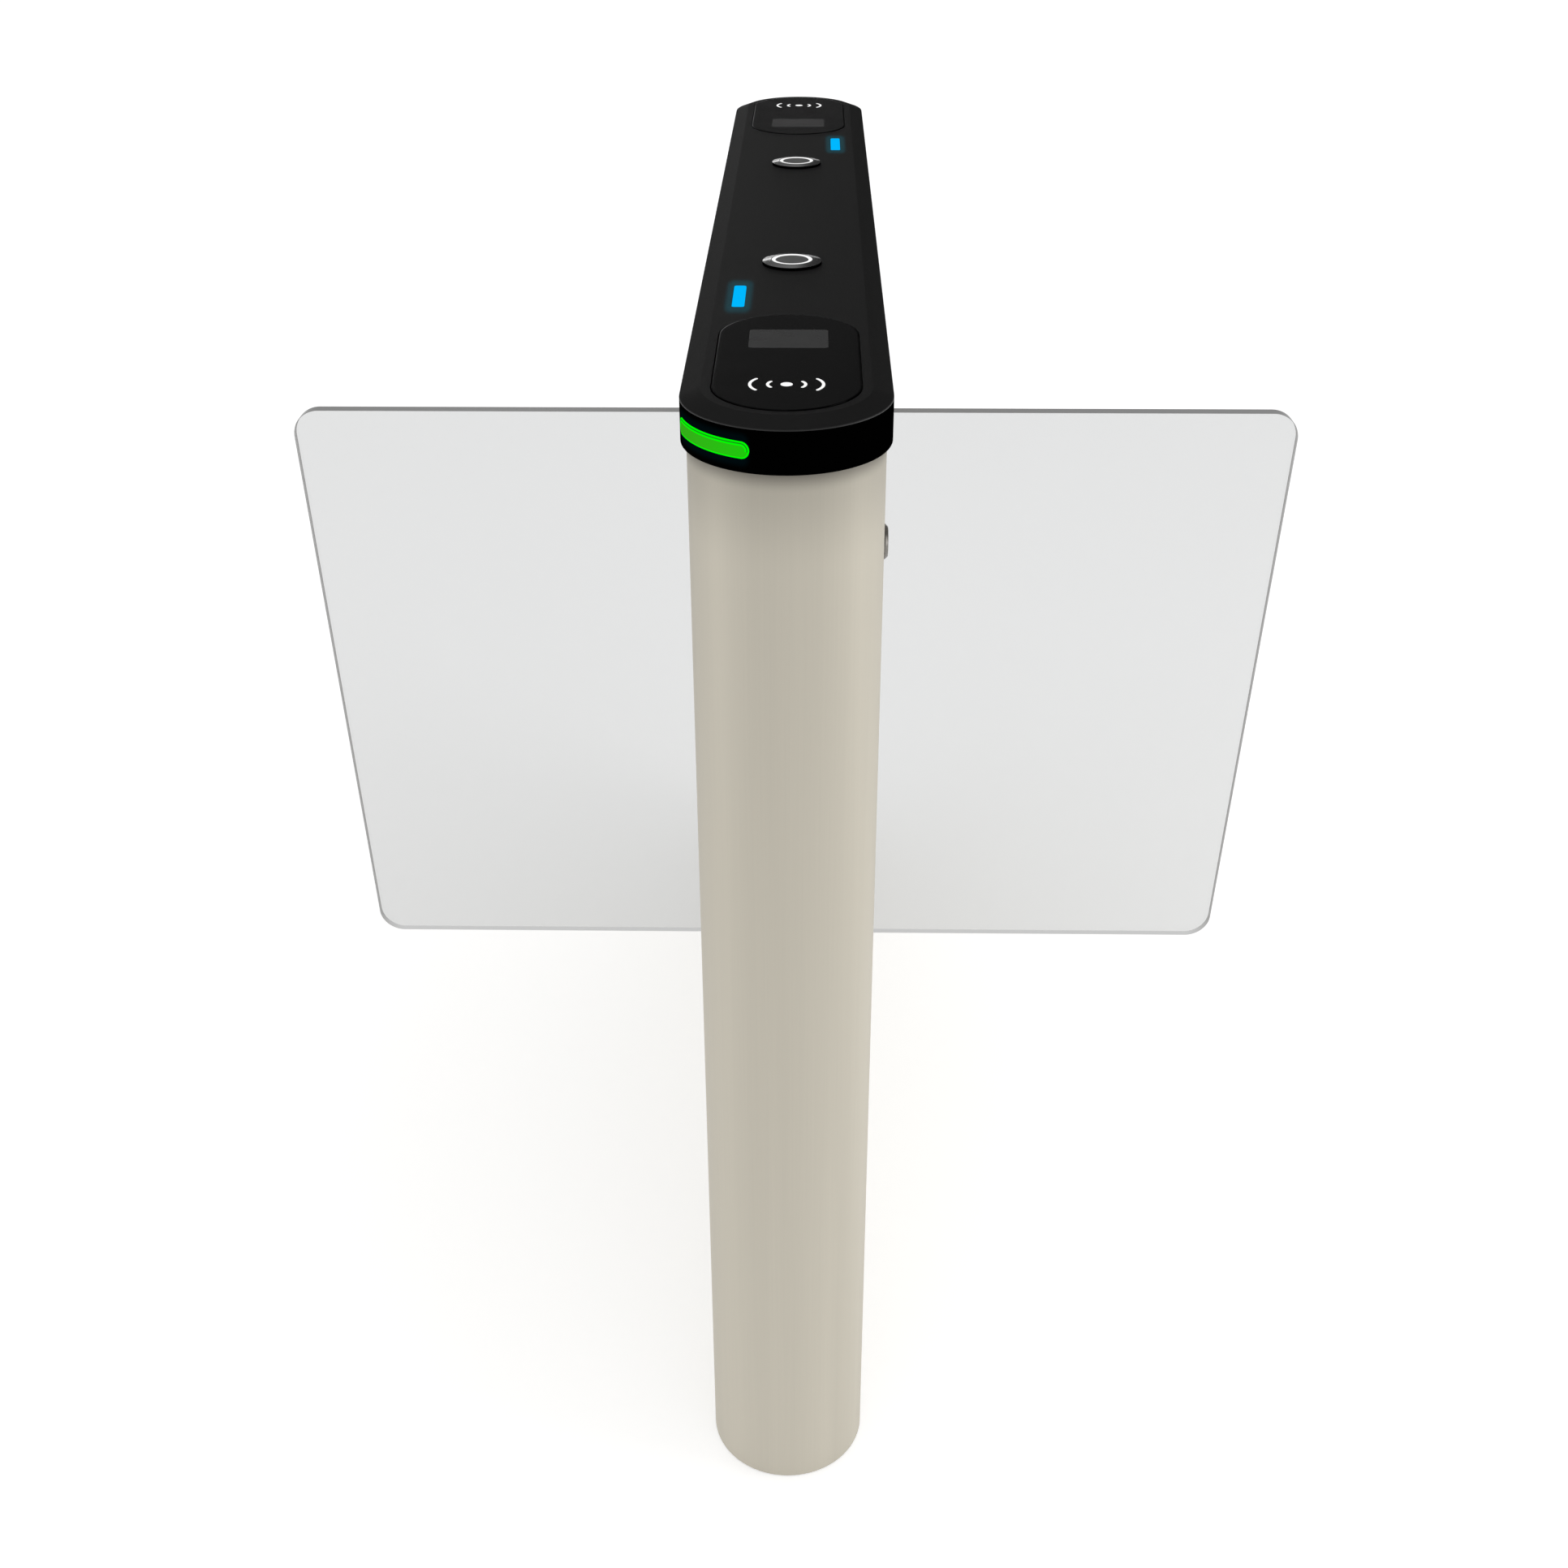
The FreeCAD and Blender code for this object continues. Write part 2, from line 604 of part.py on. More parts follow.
def build_sensors():
    sensors = []
    for turn, end, side in TURNS:
        for z in SENSOR_HEIGHTS:
            for face, sign in ((0, ""), (180, "-")):
                housing = box("-sensor_side / 2", "-sensor_side / 2", "-sensor_depth",
                              "sensor_side", "sensor_side", "sensor_depth")
                lens = cylinder("0", "0", "0", "sensor_radius", "shell_thick + sensor_proud")
                way = Rotation(UP, face).multiply(SIDEWAYS)
                sensors.append(place(fuse(housing, lens), turn, f"{sign}shell_inner", "-sensor_y", z, way))
    finish("beam_sensors", group(*sensors))


# Cap and what is set in it

def strip(inner, outer, grow):
    """A band round the front left corner of the cap: an arc with two round ends."""
    height = f"strip_height + 2 * {grow}"
    low = f"strip_z - strip_height / 2 - {grow}"
    end_radius = f"strip_height / 2 + {grow}"
    ring = cut(cylinder("0", "-end_offset", low, outer, height),
               cylinder("0", "-end_offset", low, inner, height))
    start_way = Rotation(UP, 270 - number("strip_start"))
    end_way = Rotation(UP, 270 - number("strip_end"))
    sector = cylinder("0", "-end_offset", low, outer, height, start_way, "strip_start - strip_end")
    ends = [cylinder("0", "-end_offset", "strip_z", end_radius, f"{outer} + play", way.multiply(SIDEWAYS))
            for way in (start_way, end_way)]
    return common(ring, fuse(sector, *ends))


def build_cap():
    body = new_body()
    skirt = new_sketch(body, height="cap_bottom")
    add_slot(skirt, "cap_radius", "-end_offset", "end_offset")
    extrude(body, skirt, "cap_side")
    edge = new_sketch(body, height="cap_edge")
    add_slot(edge, "cap_radius", "-end_offset", "end_offset")
    flat = new_sketch(body, height="cap_top")
    add_slot(flat, "cap_flat", "-end_offset", "end_offset")
    bevel = body.newObject("PartDesign::AdditiveLoft", "Bevel")
    bevel.Profile = edge
    bevel.Sections = [flat]
    bevel.Ruled = True
    whole = (("-end_offset", "end_offset"),)
    slot_pocket(body, "cap_inner", whole, "cap_bottom", "roof_under - cap_bottom", True)
    ends = (("-end_offset", "-plate_inner"), ("plate_inner", "end_offset"))
    slot_pocket(body, "plate_radius", ends, "cap_top", "plate_depth")
    slot_pocket(body, "window_radius", ends, "cap_top", "roof_thick")
    holes = new_sketch(body, height="cap_top")
    for y in both_signs("button_y"):
        add_circle(holes, "0", y, "bezel_hole")
    extrude(body, holes, "roof_thick", "Pocket")
    pockets = [lens_tile("inlay_gap", "play") for turn in TURNS]
    slots = [strip("cap_inner - play", "cap_radius + strip_proud + play", "inlay_gap") for turn in TURNS]
    for tool in (pockets[1], slots[1]):
        tool.Placement = FreeCAD.Placement(Vector(), Rotation(UP, 180))
    finish("cap_shell", cut(body, *pockets, *slots))
    finish("cap_seal", slot_ring("seal_outer", "seal_inner", "seal_bottom", "seal_height"))
    for turn, end, side in TURNS:
        finish(f"light_strip_{end}", strip("cap_inner", "cap_radius + strip_proud", "0"), turn)


def round_tile(kind, x, y, z, grow, rise):
    """The display window or a light lens, or its recess with a joint all round and room above."""
    width = f"{kind}_width + 2 * {grow}"
    length = f"{kind}_length + 2 * {grow}"
    tile = box(f"{x} - ({width}) / 2", f"{y} - ({length}) / 2", z, width, length, f"{kind}_thick + {rise}")
    fillet = doc.addObject("Part::Fillet", "Corners")
    fillet.Base = tile
    doc.recompute()
    upright = [index for index, edge in enumerate(tile.Shape.Edges, start=1)
               if abs(edge.tangentAt(edge.FirstParameter).z) > 0.5]
    corner = number(f"{kind}_corner") + number(grow)
    fillet.Edges = [(index, corner, corner) for index in upright]
    return fillet


def display_tile(grow="0", rise="0"):
    return round_tile("display", "0", "-display_y", "plate_top - display_thick", grow, rise)


def lens_tile(grow="0", rise="0"):
    return round_tile("lens", "-lens_x", "-lens_y", "cap_top - lens_depth", grow, rise)


def build_readers():
    for turn, end, side in TURNS:
        plate = slot_pad("plate_edge", "-end_offset", "-plate_inner", "plate_seat", "plate_thick")
        finish(f"reader_plate_{end}", cut(plate, display_tile("inlay_gap", "play")), turn)
        finish(f"display_window_{end}", display_tile(), turn)
        board = slot_pad("board_radius", "-end_offset", "-plate_inner", "plate_seat - board_thick",
                         "board_thick")
        chip_z = "plate_seat - board_thick - chip_height"
        chip = box("-chip_size / 2", "-display_y - chip_size / 2", chip_z,
                   "chip_size", "chip_size", "chip_height")
        finish(f"reader_board_{end}", fuse(board, chip), turn)
        finish(f"lane_lens_{end}", lens_tile(), turn)


# Push buttons, turned about their own axis with height 0 at the cap's top

BEZEL = (("ring_inner", "-barrel_length"), ("barrel_radius", "-barrel_length"), ("barrel_radius", "0"),
         ("bezel_radius", "0"), ("bezel_radius", "bezel_rim"), ("bevel_inner", "bezel_height"),
         ("groove_outer", "bezel_height"), ("groove_outer", "ring_seat"), ("ring_inner", "ring_seat"))
RING = (("ring_inner", "ring_seat"), ("ring_outer", "ring_seat"),
        ("ring_outer", "bezel_height"), ("ring_inner", "bezel_height"))
BUTTON = (("0", "-button_low"), ("button_radius", "-button_low"),
          ("button_radius", "button_top"), ("0", "button_top"))
SWITCH = (("0", "-switch_low"), ("button_radius", "-switch_low"),
          ("button_radius", "-switch_top"), ("0", "-switch_top"))


def nut(corner, bore, top):
    """A hexagon nut under a face at a height below 0, with a bore that clears its barrel."""
    low = f"-({top}) - nut_height"
    return cut(hexagon("0", "0", low, corner, "nut_height"),
               cylinder("0", "0", low, f"{bore} + fit_gap", "nut_height"))


def build_buttons():
    spots = [(turn, "0", "-button_y", "cap_top") for turn, end, side in TURNS]
    for name, corners in (("bezels", BEZEL), ("rings", RING), ("switches", SWITCH)):
        finish(f"button_{name}", group(*[place(revolve(corners), *spot) for spot in spots]))
    nuts = [place(nut("nut_corner", "barrel_radius", "roof_thick"), *spot) for spot in spots]
    finish("button_nuts", group(*nuts))
    for spot, (turn, end, side) in zip(spots, TURNS):
        finish(f"button_cap_{end}", place(revolve(BUTTON), *spot))


# Locks, turned about their own axis with height 0 at the shell's outer face

LOCK = (("lock_bore", "-lock_length"), ("lock_barrel", "-lock_length"), ("lock_barrel", "0"),
        ("lock_head", "0"), ("lock_head", "lock_rim"), ("lock_crown", "lock_proud"),
        ("lock_bore", "lock_proud"))
PLUG = (("0", "-plug_end"), ("plug_radius", "-plug_end"), ("plug_radius", "plug_face"), ("0", "plug_face"))


def build_locks():
    spots = [(turn, "body_radius", "-lock_y", "lock_z", SIDEWAYS) for turn, end, side in TURNS]
    finish("lock_bodies", group(*[place(revolve(LOCK), *spot) for spot in spots]))
    nuts = [place(nut("lock_nut", "lock_barrel", "shell_thick"), *spot) for spot in spots]
    finish("lock_nuts", group(*nuts))
    for spot, (turn, end, side) in zip(spots, TURNS):
        key = box("-key_length / 2", "-key_width / 2", "plug_face - key_depth",
                  "key_length", "key_width", "key_depth + play")
        finish(f"lock_plug_{side}", place(cut(revolve(PLUG), key), *spot))
        cam_z = "-plug_end"
        blade = wide_box("0", "cam_width / 2", cam_z, "cam_length", "cam_thick")
        hub = cylinder("0", "0", cam_z, "cam_width / 2", "cam_thick")
        eye = cylinder("0", "0", cam_z, "plug_radius + fit_gap", "cam_thick")
        finish(f"lock_cam_{side}", place(cut(fuse(blade, hub), eye), *spot))


# Hinges: brackets on the centre post, and bushes for the wing columns

def arm(z, height):
    """A bracket arm from the centre post to a round nose about the hinge axis."""
    straight = wide_box("post_side", "nose_radius", z, "hinge_x - post_side", height)
    nose = cylinder("hinge_x", "0", z, "nose_radius", height)
    return straight, nose


def flange(z, height):
    """A bracket flange on the side of the centre post."""
    return wide_box("post_side", "flange_half", z, "flange_thick", height)


def build_brackets():
    seat = "bush_radius + fit_gap"
    for turn, end, side in TURNS:
        ear_flange = flange("ear_bottom - flange_margin", "lug_thick + 2 * flange_margin")
        ear_bore = cylinder("hinge_x", "0", "ear_bottom", seat, "lug_thick")
        ear = cut(fuse(*arm("ear_bottom", "lug_thick"), ear_flange), ear_bore)
        finish(f"upper_bracket_{side}", ear, turn)
        case = fuse(*arm("case_bottom", "case_height"), flange("case_bottom", "case_height"))
        tools = [cylinder("hinge_x", "0", "gear_roof", seat, "lug_thick"),
                 cylinder("hinge_x", "0", "case_bottom", "bush_bore", "foot_thick"),
                 cylinder("hinge_x", "0", "gear_floor", "gear_room", "gear_space"),
                 cylinder("drive_x", "0", "gear_floor", "drive_room", "gear_space"),
                 cylinder("drive_x", "0", "case_bottom", "shaft_radius + play", "foot_thick")]
        finish(f"lower_bracket_{side}", cut(case, *tools), turn)


def build_bushes():
    sleeves = {"upper_bushes": ("ear_bottom", "lug_thick", "ear_bottom - bush_flange"),
               "lower_bushes": ("gear_roof", "lug_thick", "lug_top")}
    for label, (start, length, rim) in sleeves.items():
        pair = []
        for turn, end, side in TURNS:
            sleeve = cylinder("0", "0", start, "bush_radius", length)
            collar = cylinder("0", "0", rim, "bush_rim", "bush_flange")
            low = f"{start} - bush_flange"
            bore = cylinder("0", "0", low, "bush_bore", f"{length} + 2 * bush_flange")
            pair.append(place(cut(fuse(sleeve, collar), bore), turn, "hinge_x"))
        finish(label, group(*pair))


def build_bolts():
    bolts = []
    for turn, end, side in TURNS:
        for middle in ("case_middle", "ear_middle"):
            for z in (f"{middle} + bolt_z", f"{middle} - bolt_z"):
                for y in both_signs("bolt_y"):
                    head = hexagon("0", "0", "0", "bolt_corner", "bolt_height")
                    bolts.append(place(head, turn, "post_side + flange_thick", y, z, SIDEWAYS))
    finish("bracket_bolts", group(*bolts))


# Wings: height is above the floor, and the hinge axis is the piece's own Z axis

COLUMN = (("0", "case_bottom"), ("journal_radius", "case_bottom"), ("journal_radius", "column_bottom"),
          ("column_radius", "column_bottom"), ("column_radius", "column_top"),
          ("journal_radius", "column_top"), ("journal_radius", "journal_top"), ("0", "journal_top"))
GLASS = (("glass_inner", "glass_bottom"), ("glass_outer_low", "glass_bottom"),
         ("glass_outer_top", "glass_top"), ("glass_inner", "glass_top"))


def glass_pane():
    """A flat pane with a raked outer edge and two rounded outer corners."""
    body = new_body()
    sketch = new_sketch(body, "XZ_Plane")
    add_polygon(sketch, GLASS)
    pane = extrude(body, sketch, "glass_thick", both_ways=True)
    doc.recompute()
    corners = []
    for index, edge in enumerate(pane.Shape.Edges, start=1):
        across = abs(edge.tangentAt(edge.FirstParameter).y) > 0.5
        if across and edge.CenterOfMass.x > 0:
            corners.append(f"Edge{index}")
    fillet = body.newObject("PartDesign::Fillet", "Corners")
    fillet.Base = (pane, corners)
    bind(fillet, "Radius", "glass_corner")
    return body


def involute_gear(teeth, turn_by):
    """A gear face whose flanks are straight chords between involute points at the root, pitch and tip."""
    module = number("gear_module")
    pressure = radians(20)
    pitch = module * teeth / 2
    base = pitch * cos(pressure)
    half_tooth = pi / (2 * teeth) - number("backlash") / (4 * pitch)
    root = pitch - 1.25 * module

    def involute(radius):
        roll = sqrt(max((radius / base) ** 2 - 1, 0))
        return roll - atan(roll)

    def flank(radius):
        return half_tooth + tan(pressure) - pressure - involute(radius)

    radii = (root, pitch, pitch + module)
    points = []
    for tooth in range(teeth):
        middle = 2 * pi * tooth / teeth + turn_by
        side = [(radius, flank(radius)) for radius in radii]
        for radius, angle in [(r, -a) for r, a in side] + side[::-1]:
            points.append(Vector(radius * cos(middle + angle), radius * sin(middle + angle), 0))
    return Part.Face(Part.makePolygon(points + points[:1]))


def gear_solid(teeth_name, turn_by, bore_name):
    """A gear blank with its bore, standing on the XY plane."""
    face = involute_gear(round(number(teeth_name)), turn_by)
    blank = face.extrude(Vector(0, 0, number("gear_thick")))
    bore = Part.makeCylinder(number(bore_name), number("gear_thick"))
    gear = doc.addObject("Part::Feature", "Gear")
    gear.Shape = blank.cut(bore)
    return gear


def build_wings():
    for turn, end, side in TURNS:
        slot = wide_box("-slot_root", "slot_half", "slot_bottom", "slot_root + column_radius",
                        "slot_top - slot_bottom")
        finish(f"wing_column_{side}", place(cut(revolve(COLUMN), slot), turn, "hinge_x"))
        finish(f"wing_glass_{side}", place(glass_pane(), turn, "hinge_x"))
        strip_length = "slot_root + slot_mouth + gasket_lip"
        lining = wide_box("-slot_root", "slot_half", "slot_bottom", strip_length, "slot_top - slot_bottom")
        channel = wide_box("-glass_seat", "glass_thick / 2", "glass_bottom", strip_length,
                           "glass_top - glass_bottom")
        finish(f"glass_gasket_{side}", place(cut(lining, channel), turn, "hinge_x"))
        wing_gear = gear_solid("wing_teeth", 0, "bush_bore")
        finish(f"wing_gear_{side}", place(wing_gear, turn, "hinge_x", "0", "gear_bottom"))


def build_drives():
    for turn, end, side in TURNS:
        gear = gear_solid("drive_teeth", pi / round(number("drive_teeth")), "shaft_radius")
        place(gear, 0, "0", "0", "gear_bottom")
        shaft_low = "motor_top + pilot_length - shaft_depth"
        shaft = cylinder("0", "0", shaft_low, "shaft_radius", f"gear_bottom + gear_thick - ({shaft_low})")
        hub = cylinder("0", "0", "gear_bottom - play", "2 * shaft_radius", "gear_thick + play")
        finish(f"drive_gear_{side}", place(fuse(gear, hub, shaft), turn, "drive_x"))
        parts = [wide_box("-gearbox_side / 2", "gearbox_side / 2", "gearbox_bottom", "gearbox_side",
                          "gearbox_height"),
                 cylinder("0", "0", "gearbox_bottom - motor_length", "motor_radius", "motor_length"),
                 cylinder("0", "0", "motor_top", "pilot_radius", "pilot_length")]
        bore = cylinder("0", "0", f"{shaft_low} - play", "shaft_radius + fit_gap", "shaft_depth + play")
        finish(f"gearmotor_{side}", place(cut(fuse(*parts), bore), turn, "drive_x"))


# Electronics between the front post and the centre post

def build_electronics():
    panel = box("-panel_side", "-panel_end", "panel_bottom", "panel_thick", "panel_end - panel_start",
                "panel_height")
    finish("electronics_plate", panel)
    front = "panel_side + control_stand"
    low_y = "-unit_y - control_width / 2"
    low_z = "panel_middle - control_height / 2"
    pieces = [box(front, low_y, low_z, "board_thick", "control_width", "control_height")]
    inset = "2 * standoff_corner"
    for y in (f"{low_y} + {inset}", f"-unit_y + control_width / 2 - {inset}"):
        for z in (f"{low_z} + {inset}", f"panel_middle + control_height / 2 - {inset}"):
            pieces.append(hexagon("panel_side", y, z, "standoff_corner", "control_stand", SIDEWAYS))
    face = f"{front} + board_thick"
    for share in ("-3", "0", "3"):
        relay_z = f"panel_middle + ({share}) * control_height / 10 - relay_depth / 2"
        pieces.append(box(face, "-unit_y - control_width / 4", relay_z, "relay_depth",
                          "control_width / 2", "relay_depth"))
    finish("control_board", fuse(*pieces))
    supply = box("-panel_side - supply_depth", "-unit_y - supply_width / 2",
                 "panel_middle - supply_height / 2", "supply_depth", "supply_width", "supply_height")
    finish("power_supply", supply)


def write_parts():
    """Checks every object, then writes one STEP file per node."""
    doc.recompute()
    for thing in doc.Objects:
        if "Invalid" in thing.State or "Error" in thing.State:
            raise RuntimeError(f"{thing.Name} ({thing.Label}) did not build: {thing.State}")
    os.makedirs("parts", exist_ok=True)
    for label, thing in NODES.items():
        shape = thing.Shape
        if shape.isNull() or not shape.isValid() or not shape.Solids:
            raise RuntimeError(f"{label} is not a valid solid")
        shape.exportStep(f"parts/{label}.step")
        print(f"{label}: {len(shape.Solids)} solids, {shape.Volume / 1000:.2f} cm3")


build_base()
build_posts()
build_top_frame()
build_shells()
build_trays()
build_sensors()
build_cap()
build_readers()
build_buttons()
build_locks()
build_brackets()
build_bushes()
build_bolts()
build_wings()
build_drives()
build_electronics()
write_parts()
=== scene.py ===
"""Visible surfaces, finishes and studio of a swing speed gate, built round its CAD frame.

Lengths are in metres, +Z is up, +Y runs along the gate from its front end to its rear end and +X runs
across the lane to the right. The gate looks the same after a half turn about the upright axis through the
origin, so a piece that comes in pairs is worked out once, at the front or on the right, and turned for its
twin.
"""

import json
import math
from collections import namedtuple

import bmesh
import bpy
import numpy as np
from bpy.props import FloatProperty, FloatVectorProperty, PointerProperty
from bpy.types import Operator, Panel, PropertyGroup
from mathutils import Matrix, Vector
from mathutils.geometry import tessellate_polygon


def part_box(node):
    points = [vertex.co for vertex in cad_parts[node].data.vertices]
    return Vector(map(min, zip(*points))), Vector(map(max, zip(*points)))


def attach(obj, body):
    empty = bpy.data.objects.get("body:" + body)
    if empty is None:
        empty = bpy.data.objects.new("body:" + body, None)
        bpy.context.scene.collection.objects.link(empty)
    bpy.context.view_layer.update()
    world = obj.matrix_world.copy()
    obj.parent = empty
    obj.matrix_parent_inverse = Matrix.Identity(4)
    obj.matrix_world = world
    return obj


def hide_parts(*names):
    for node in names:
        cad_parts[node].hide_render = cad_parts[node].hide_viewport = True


bl_info = {
    "name": "Swing speed gate",
    "version": (1, 0, 0),
    "blender": (4, 5, 0),
    "location": "View3D > Sidebar > Gate",
    "description": "Builds the visible surfaces, finishes and studio of a swing speed gate",
    "category": "Object",
}

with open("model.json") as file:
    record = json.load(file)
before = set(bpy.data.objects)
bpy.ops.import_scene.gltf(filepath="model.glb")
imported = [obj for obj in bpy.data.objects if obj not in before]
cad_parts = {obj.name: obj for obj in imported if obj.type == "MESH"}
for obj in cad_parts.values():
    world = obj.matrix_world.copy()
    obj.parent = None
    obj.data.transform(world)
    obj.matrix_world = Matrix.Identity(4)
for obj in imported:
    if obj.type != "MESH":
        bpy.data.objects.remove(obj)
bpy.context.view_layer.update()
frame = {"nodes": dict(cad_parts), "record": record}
MM = 0.001


def extent(node):
    """Lowest and highest corner of a CAD node, as arrays."""
    low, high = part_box(node)
    return np.array(low), np.array(high)


# Places and sizes taken from the CAD frame
CAP_LOW, CAP_HIGH = extent("cap_shell")
CAP_RADIUS = CAP_HIGH[0]
CAP_END = CAP_HIGH[1] - CAP_RADIUS
CAP_TOP = CAP_HIGH[2]
SHELL_LOW, SHELL_HIGH = extent("front_shell")
BODY_RADIUS = SHELL_HIGH[0]
TRAY_LOW, TRAY_HIGH = extent("hinge_tray_right")
PLATE_LOW, PLATE_HIGH = extent("reader_plate_front")
PLATE_RADIUS = PLATE_HIGH[0]
PLATE_ENDS = (PLATE_LOW[1] + PLATE_RADIUS, PLATE_HIGH[1] - PLATE_RADIUS)
DISPLAY_LOW, DISPLAY_HIGH = extent("display_window_front")
LENS_LOW, LENS_HIGH = extent("lane_lens_front")
STRIP_LOW, STRIP_HIGH = extent("light_strip_front")
STRIP_RADIUS = (STRIP_HIGH[2] - STRIP_LOW[2]) / 2
STRIP_Z = (STRIP_HIGH[2] + STRIP_LOW[2]) / 2
BEZEL_LOW, BEZEL_HIGH = extent("button_bezels")
BEZEL_RADIUS = BEZEL_HIGH[0]
BUTTON_Y = BEZEL_LOW[1] + BEZEL_RADIUS
RING_LOW, RING_HIGH = extent("button_rings")
BUTTON_LOW, BUTTON_HIGH = extent("button_cap_front")
LOCK_LOW, LOCK_HIGH = extent("lock_bodies")
LOCK_RADIUS = (LOCK_HIGH[2] - LOCK_LOW[2]) / 2
LOCK_Y = LOCK_LOW[1] + LOCK_RADIUS
LOCK_Z = (LOCK_HIGH[2] + LOCK_LOW[2]) / 2
PLUG_LOW, PLUG_HIGH = extent("lock_plug_right")
PLUG_RADIUS = (PLUG_HIGH[2] - PLUG_LOW[2]) / 2
COLUMN_LOW, COLUMN_HIGH = extent("wing_column_right")
COLUMN_RADIUS = COLUMN_HIGH[1]
HINGE_X = (COLUMN_LOW[0] + COLUMN_HIGH[0]) / 2
GLASS_LOW, GLASS_HIGH = extent("wing_glass_right")
SLOT_OF = {part["node"]: part["material_slot"] for part in frame["record"]["subparts"]}


def length(name, description, millimetres):
    """A length property, given in millimetres."""
    return FloatProperty(name=name, description=description, default=millimetres * MM, unit="LENGTH")


def opening(name, description, degrees):
    """An angle property, given in degrees."""
    return FloatProperty(name=name, description=description, default=math.radians(degrees), subtype="ANGLE")


class GateShape(PropertyGroup):
    """Sizes of the visible surfaces that the CAD frame doesn't give."""

    sheet: length("Shell sheet", "Thickness of the stainless shells", 1.5)
    seam: length("Shell seam", "Gap between the front and rear shells", 0.5)
    cap_wall: length("Cap wall", "Side wall of the cap", 3.2)
    cap_roof: length("Cap roof", "Thickness of the cap's top", 9)
    bevel_width: length("Bevel width", "Bevel round the cap's top, across", 14)
    bevel_height: length("Bevel height", "Bevel round the cap's top, upright", 5)
    cap_edge: length("Cap edges", "Rounding of the cap's moulded edges", 1.2)
    plate_joint: length("Plate joint", "Gap round each reader plate", 0.8)
    plate_edge: length("Plate edge", "Rounding of the reader plates", 0.5)
    plate_window: length("Plate window", "Half width of the opening under a plate", 44)
    display_corner: length("Display corner", "Corner radius of the display windows", 3)
    lens_corner: length("Lens corner", "Corner radius of the lane lenses", 2.2)
    inlay_joint: length("Inlay joint", "Gap round windows and lenses", 0.15)
    icon_y: length("Symbol place", "Reader symbol from the middle of the gate", 507)
    icon_dot: length("Symbol dot", "Radius of the reader symbol's dot", 4.1)
    icon_stroke: length("Symbol stroke", "Width of the reader symbol's arcs", 2.1)
    icon_inner: length("Inner arcs", "Reach of the symbol's inner arcs", 13.8)
    icon_outer: length("Outer arcs", "Reach of the symbol's outer arcs", 25.8)
    icon_bend: FloatProperty(name="Arc bend", description="Radius of an arc over its reach", default=0.76,
                             min=0.5, max=1)
    icon_angle: opening("Arc half angle", "Half the opening angle of the arcs", 39)
    strip_start: opening("Strip start", "Outer end of the green strip from the gate's tip", 73)
    strip_end: opening("Strip end", "Inner end of the green strip from the gate's tip", 23.3)
    strip_proud: length("Strip rise", "Green strip beyond the cap's side", 0.5)
    strip_line: length("Strip lines", "Width of the lines along the green strip's edge", 0.9)
    # Reach of the painted glow that the lenses and strips put on the cap
    glow: length("Glow reach", "Distance at which a lens's glow on the cap ends", 7.5)
    bezel_rim: length("Bezel rim", "Upright rim of the button bezel", 2.3)
    bezel_land: length("Bezel land", "Flat between bevel and lit ring", 0.6)
    lock_bevel: length("Lock bevel", "Bevel of the lock head", 2.2)
    glass_rake: length("Glass rake", "Lower outer corner set in from the upper", 21.5)
    glass_reach: length("Glass reach", "Upper outer corner, before rounding", 485.49)
    glass_corner: length("Glass corner", "Outer corners of the glass", 26)
    glass_arris: length("Glass arris", "Ground chamfer on the glass edges", 0.5)
    journal: length("Journal", "Radius of the column's turned ends", 7)
    column_end: length("Column end", "Solid end of the column past the glass", 7)
    gasket: length("Gasket", "Gasket between glass and column", 1)


def colour(name, description, default):
    """A colour property in linear light."""
    return FloatVectorProperty(name=name, description=description, default=default, subtype="COLOR",
                               min=0, max=1)


class GateFinish(PropertyGroup):
    """Colours of the gate's finishes."""

    stainless: colour("Stainless", "Brushed sheet of the body", (0.602, 0.564, 0.479))
    cap: colour("Cap top", "Matt moulding of the cap", (0.009, 0.009, 0.009))
    # Painted shade: the cap's black moulding made darker still on its side
    skirt: colour("Cap side", "Darker side of the cap", (0.0003, 0.0003, 0.0003))
    plate: colour("Reader plate", "Glossy reader plates", (0.001, 0.001, 0.001))
    display: colour("Display", "Smoked display windows", (0.046, 0.046, 0.046))
    blue: colour("Lane light", "Lit lane lenses", (0.0, 0.479, 1.0))
    green: colour("Edge light", "Lit strips, towards the gate's tip", (0.013, 0.58, 0.004))
    green_side: colour("Edge light, side", "Lit strips, towards the gate's side", (0.036, 0.4, 0.01))
    green_line: colour("Edge light lines", "Bright lines of the lit strips", (0.0, 1.0, 0.0))
    green_band: colour("Edge light band", "Darker band between those lines", (0.008, 0.3, 0.008))
    # Colour of the painted glow that the lenses cast on the cap
    glow: colour("Glow", "Light that the lenses cast on the cap", (0.0, 0.031, 0.042))
    white: colour("Lit white", "Button rings and reader symbols", (1.0, 1.0, 1.0))
    chrome: colour("Chrome", "Button bezels", (0.62, 0.62, 0.62))
    button: colour("Button", "Turned face of the buttons", (0.25, 0.25, 0.25))
    glass: colour("Glass", "Clear wings", (0.695, 0.7, 0.7))
    # Also the colour of the ground edges' painted glow
    glass_edge: colour("Glass edge", "Ground edges of the wings", (0.16, 0.16, 0.16))
    rubber: colour("Rubber", "Seals and gaskets", (0.014, 0.014, 0.014))
    column: colour("Column", "Brushed wing columns", (0.55, 0.53, 0.48))


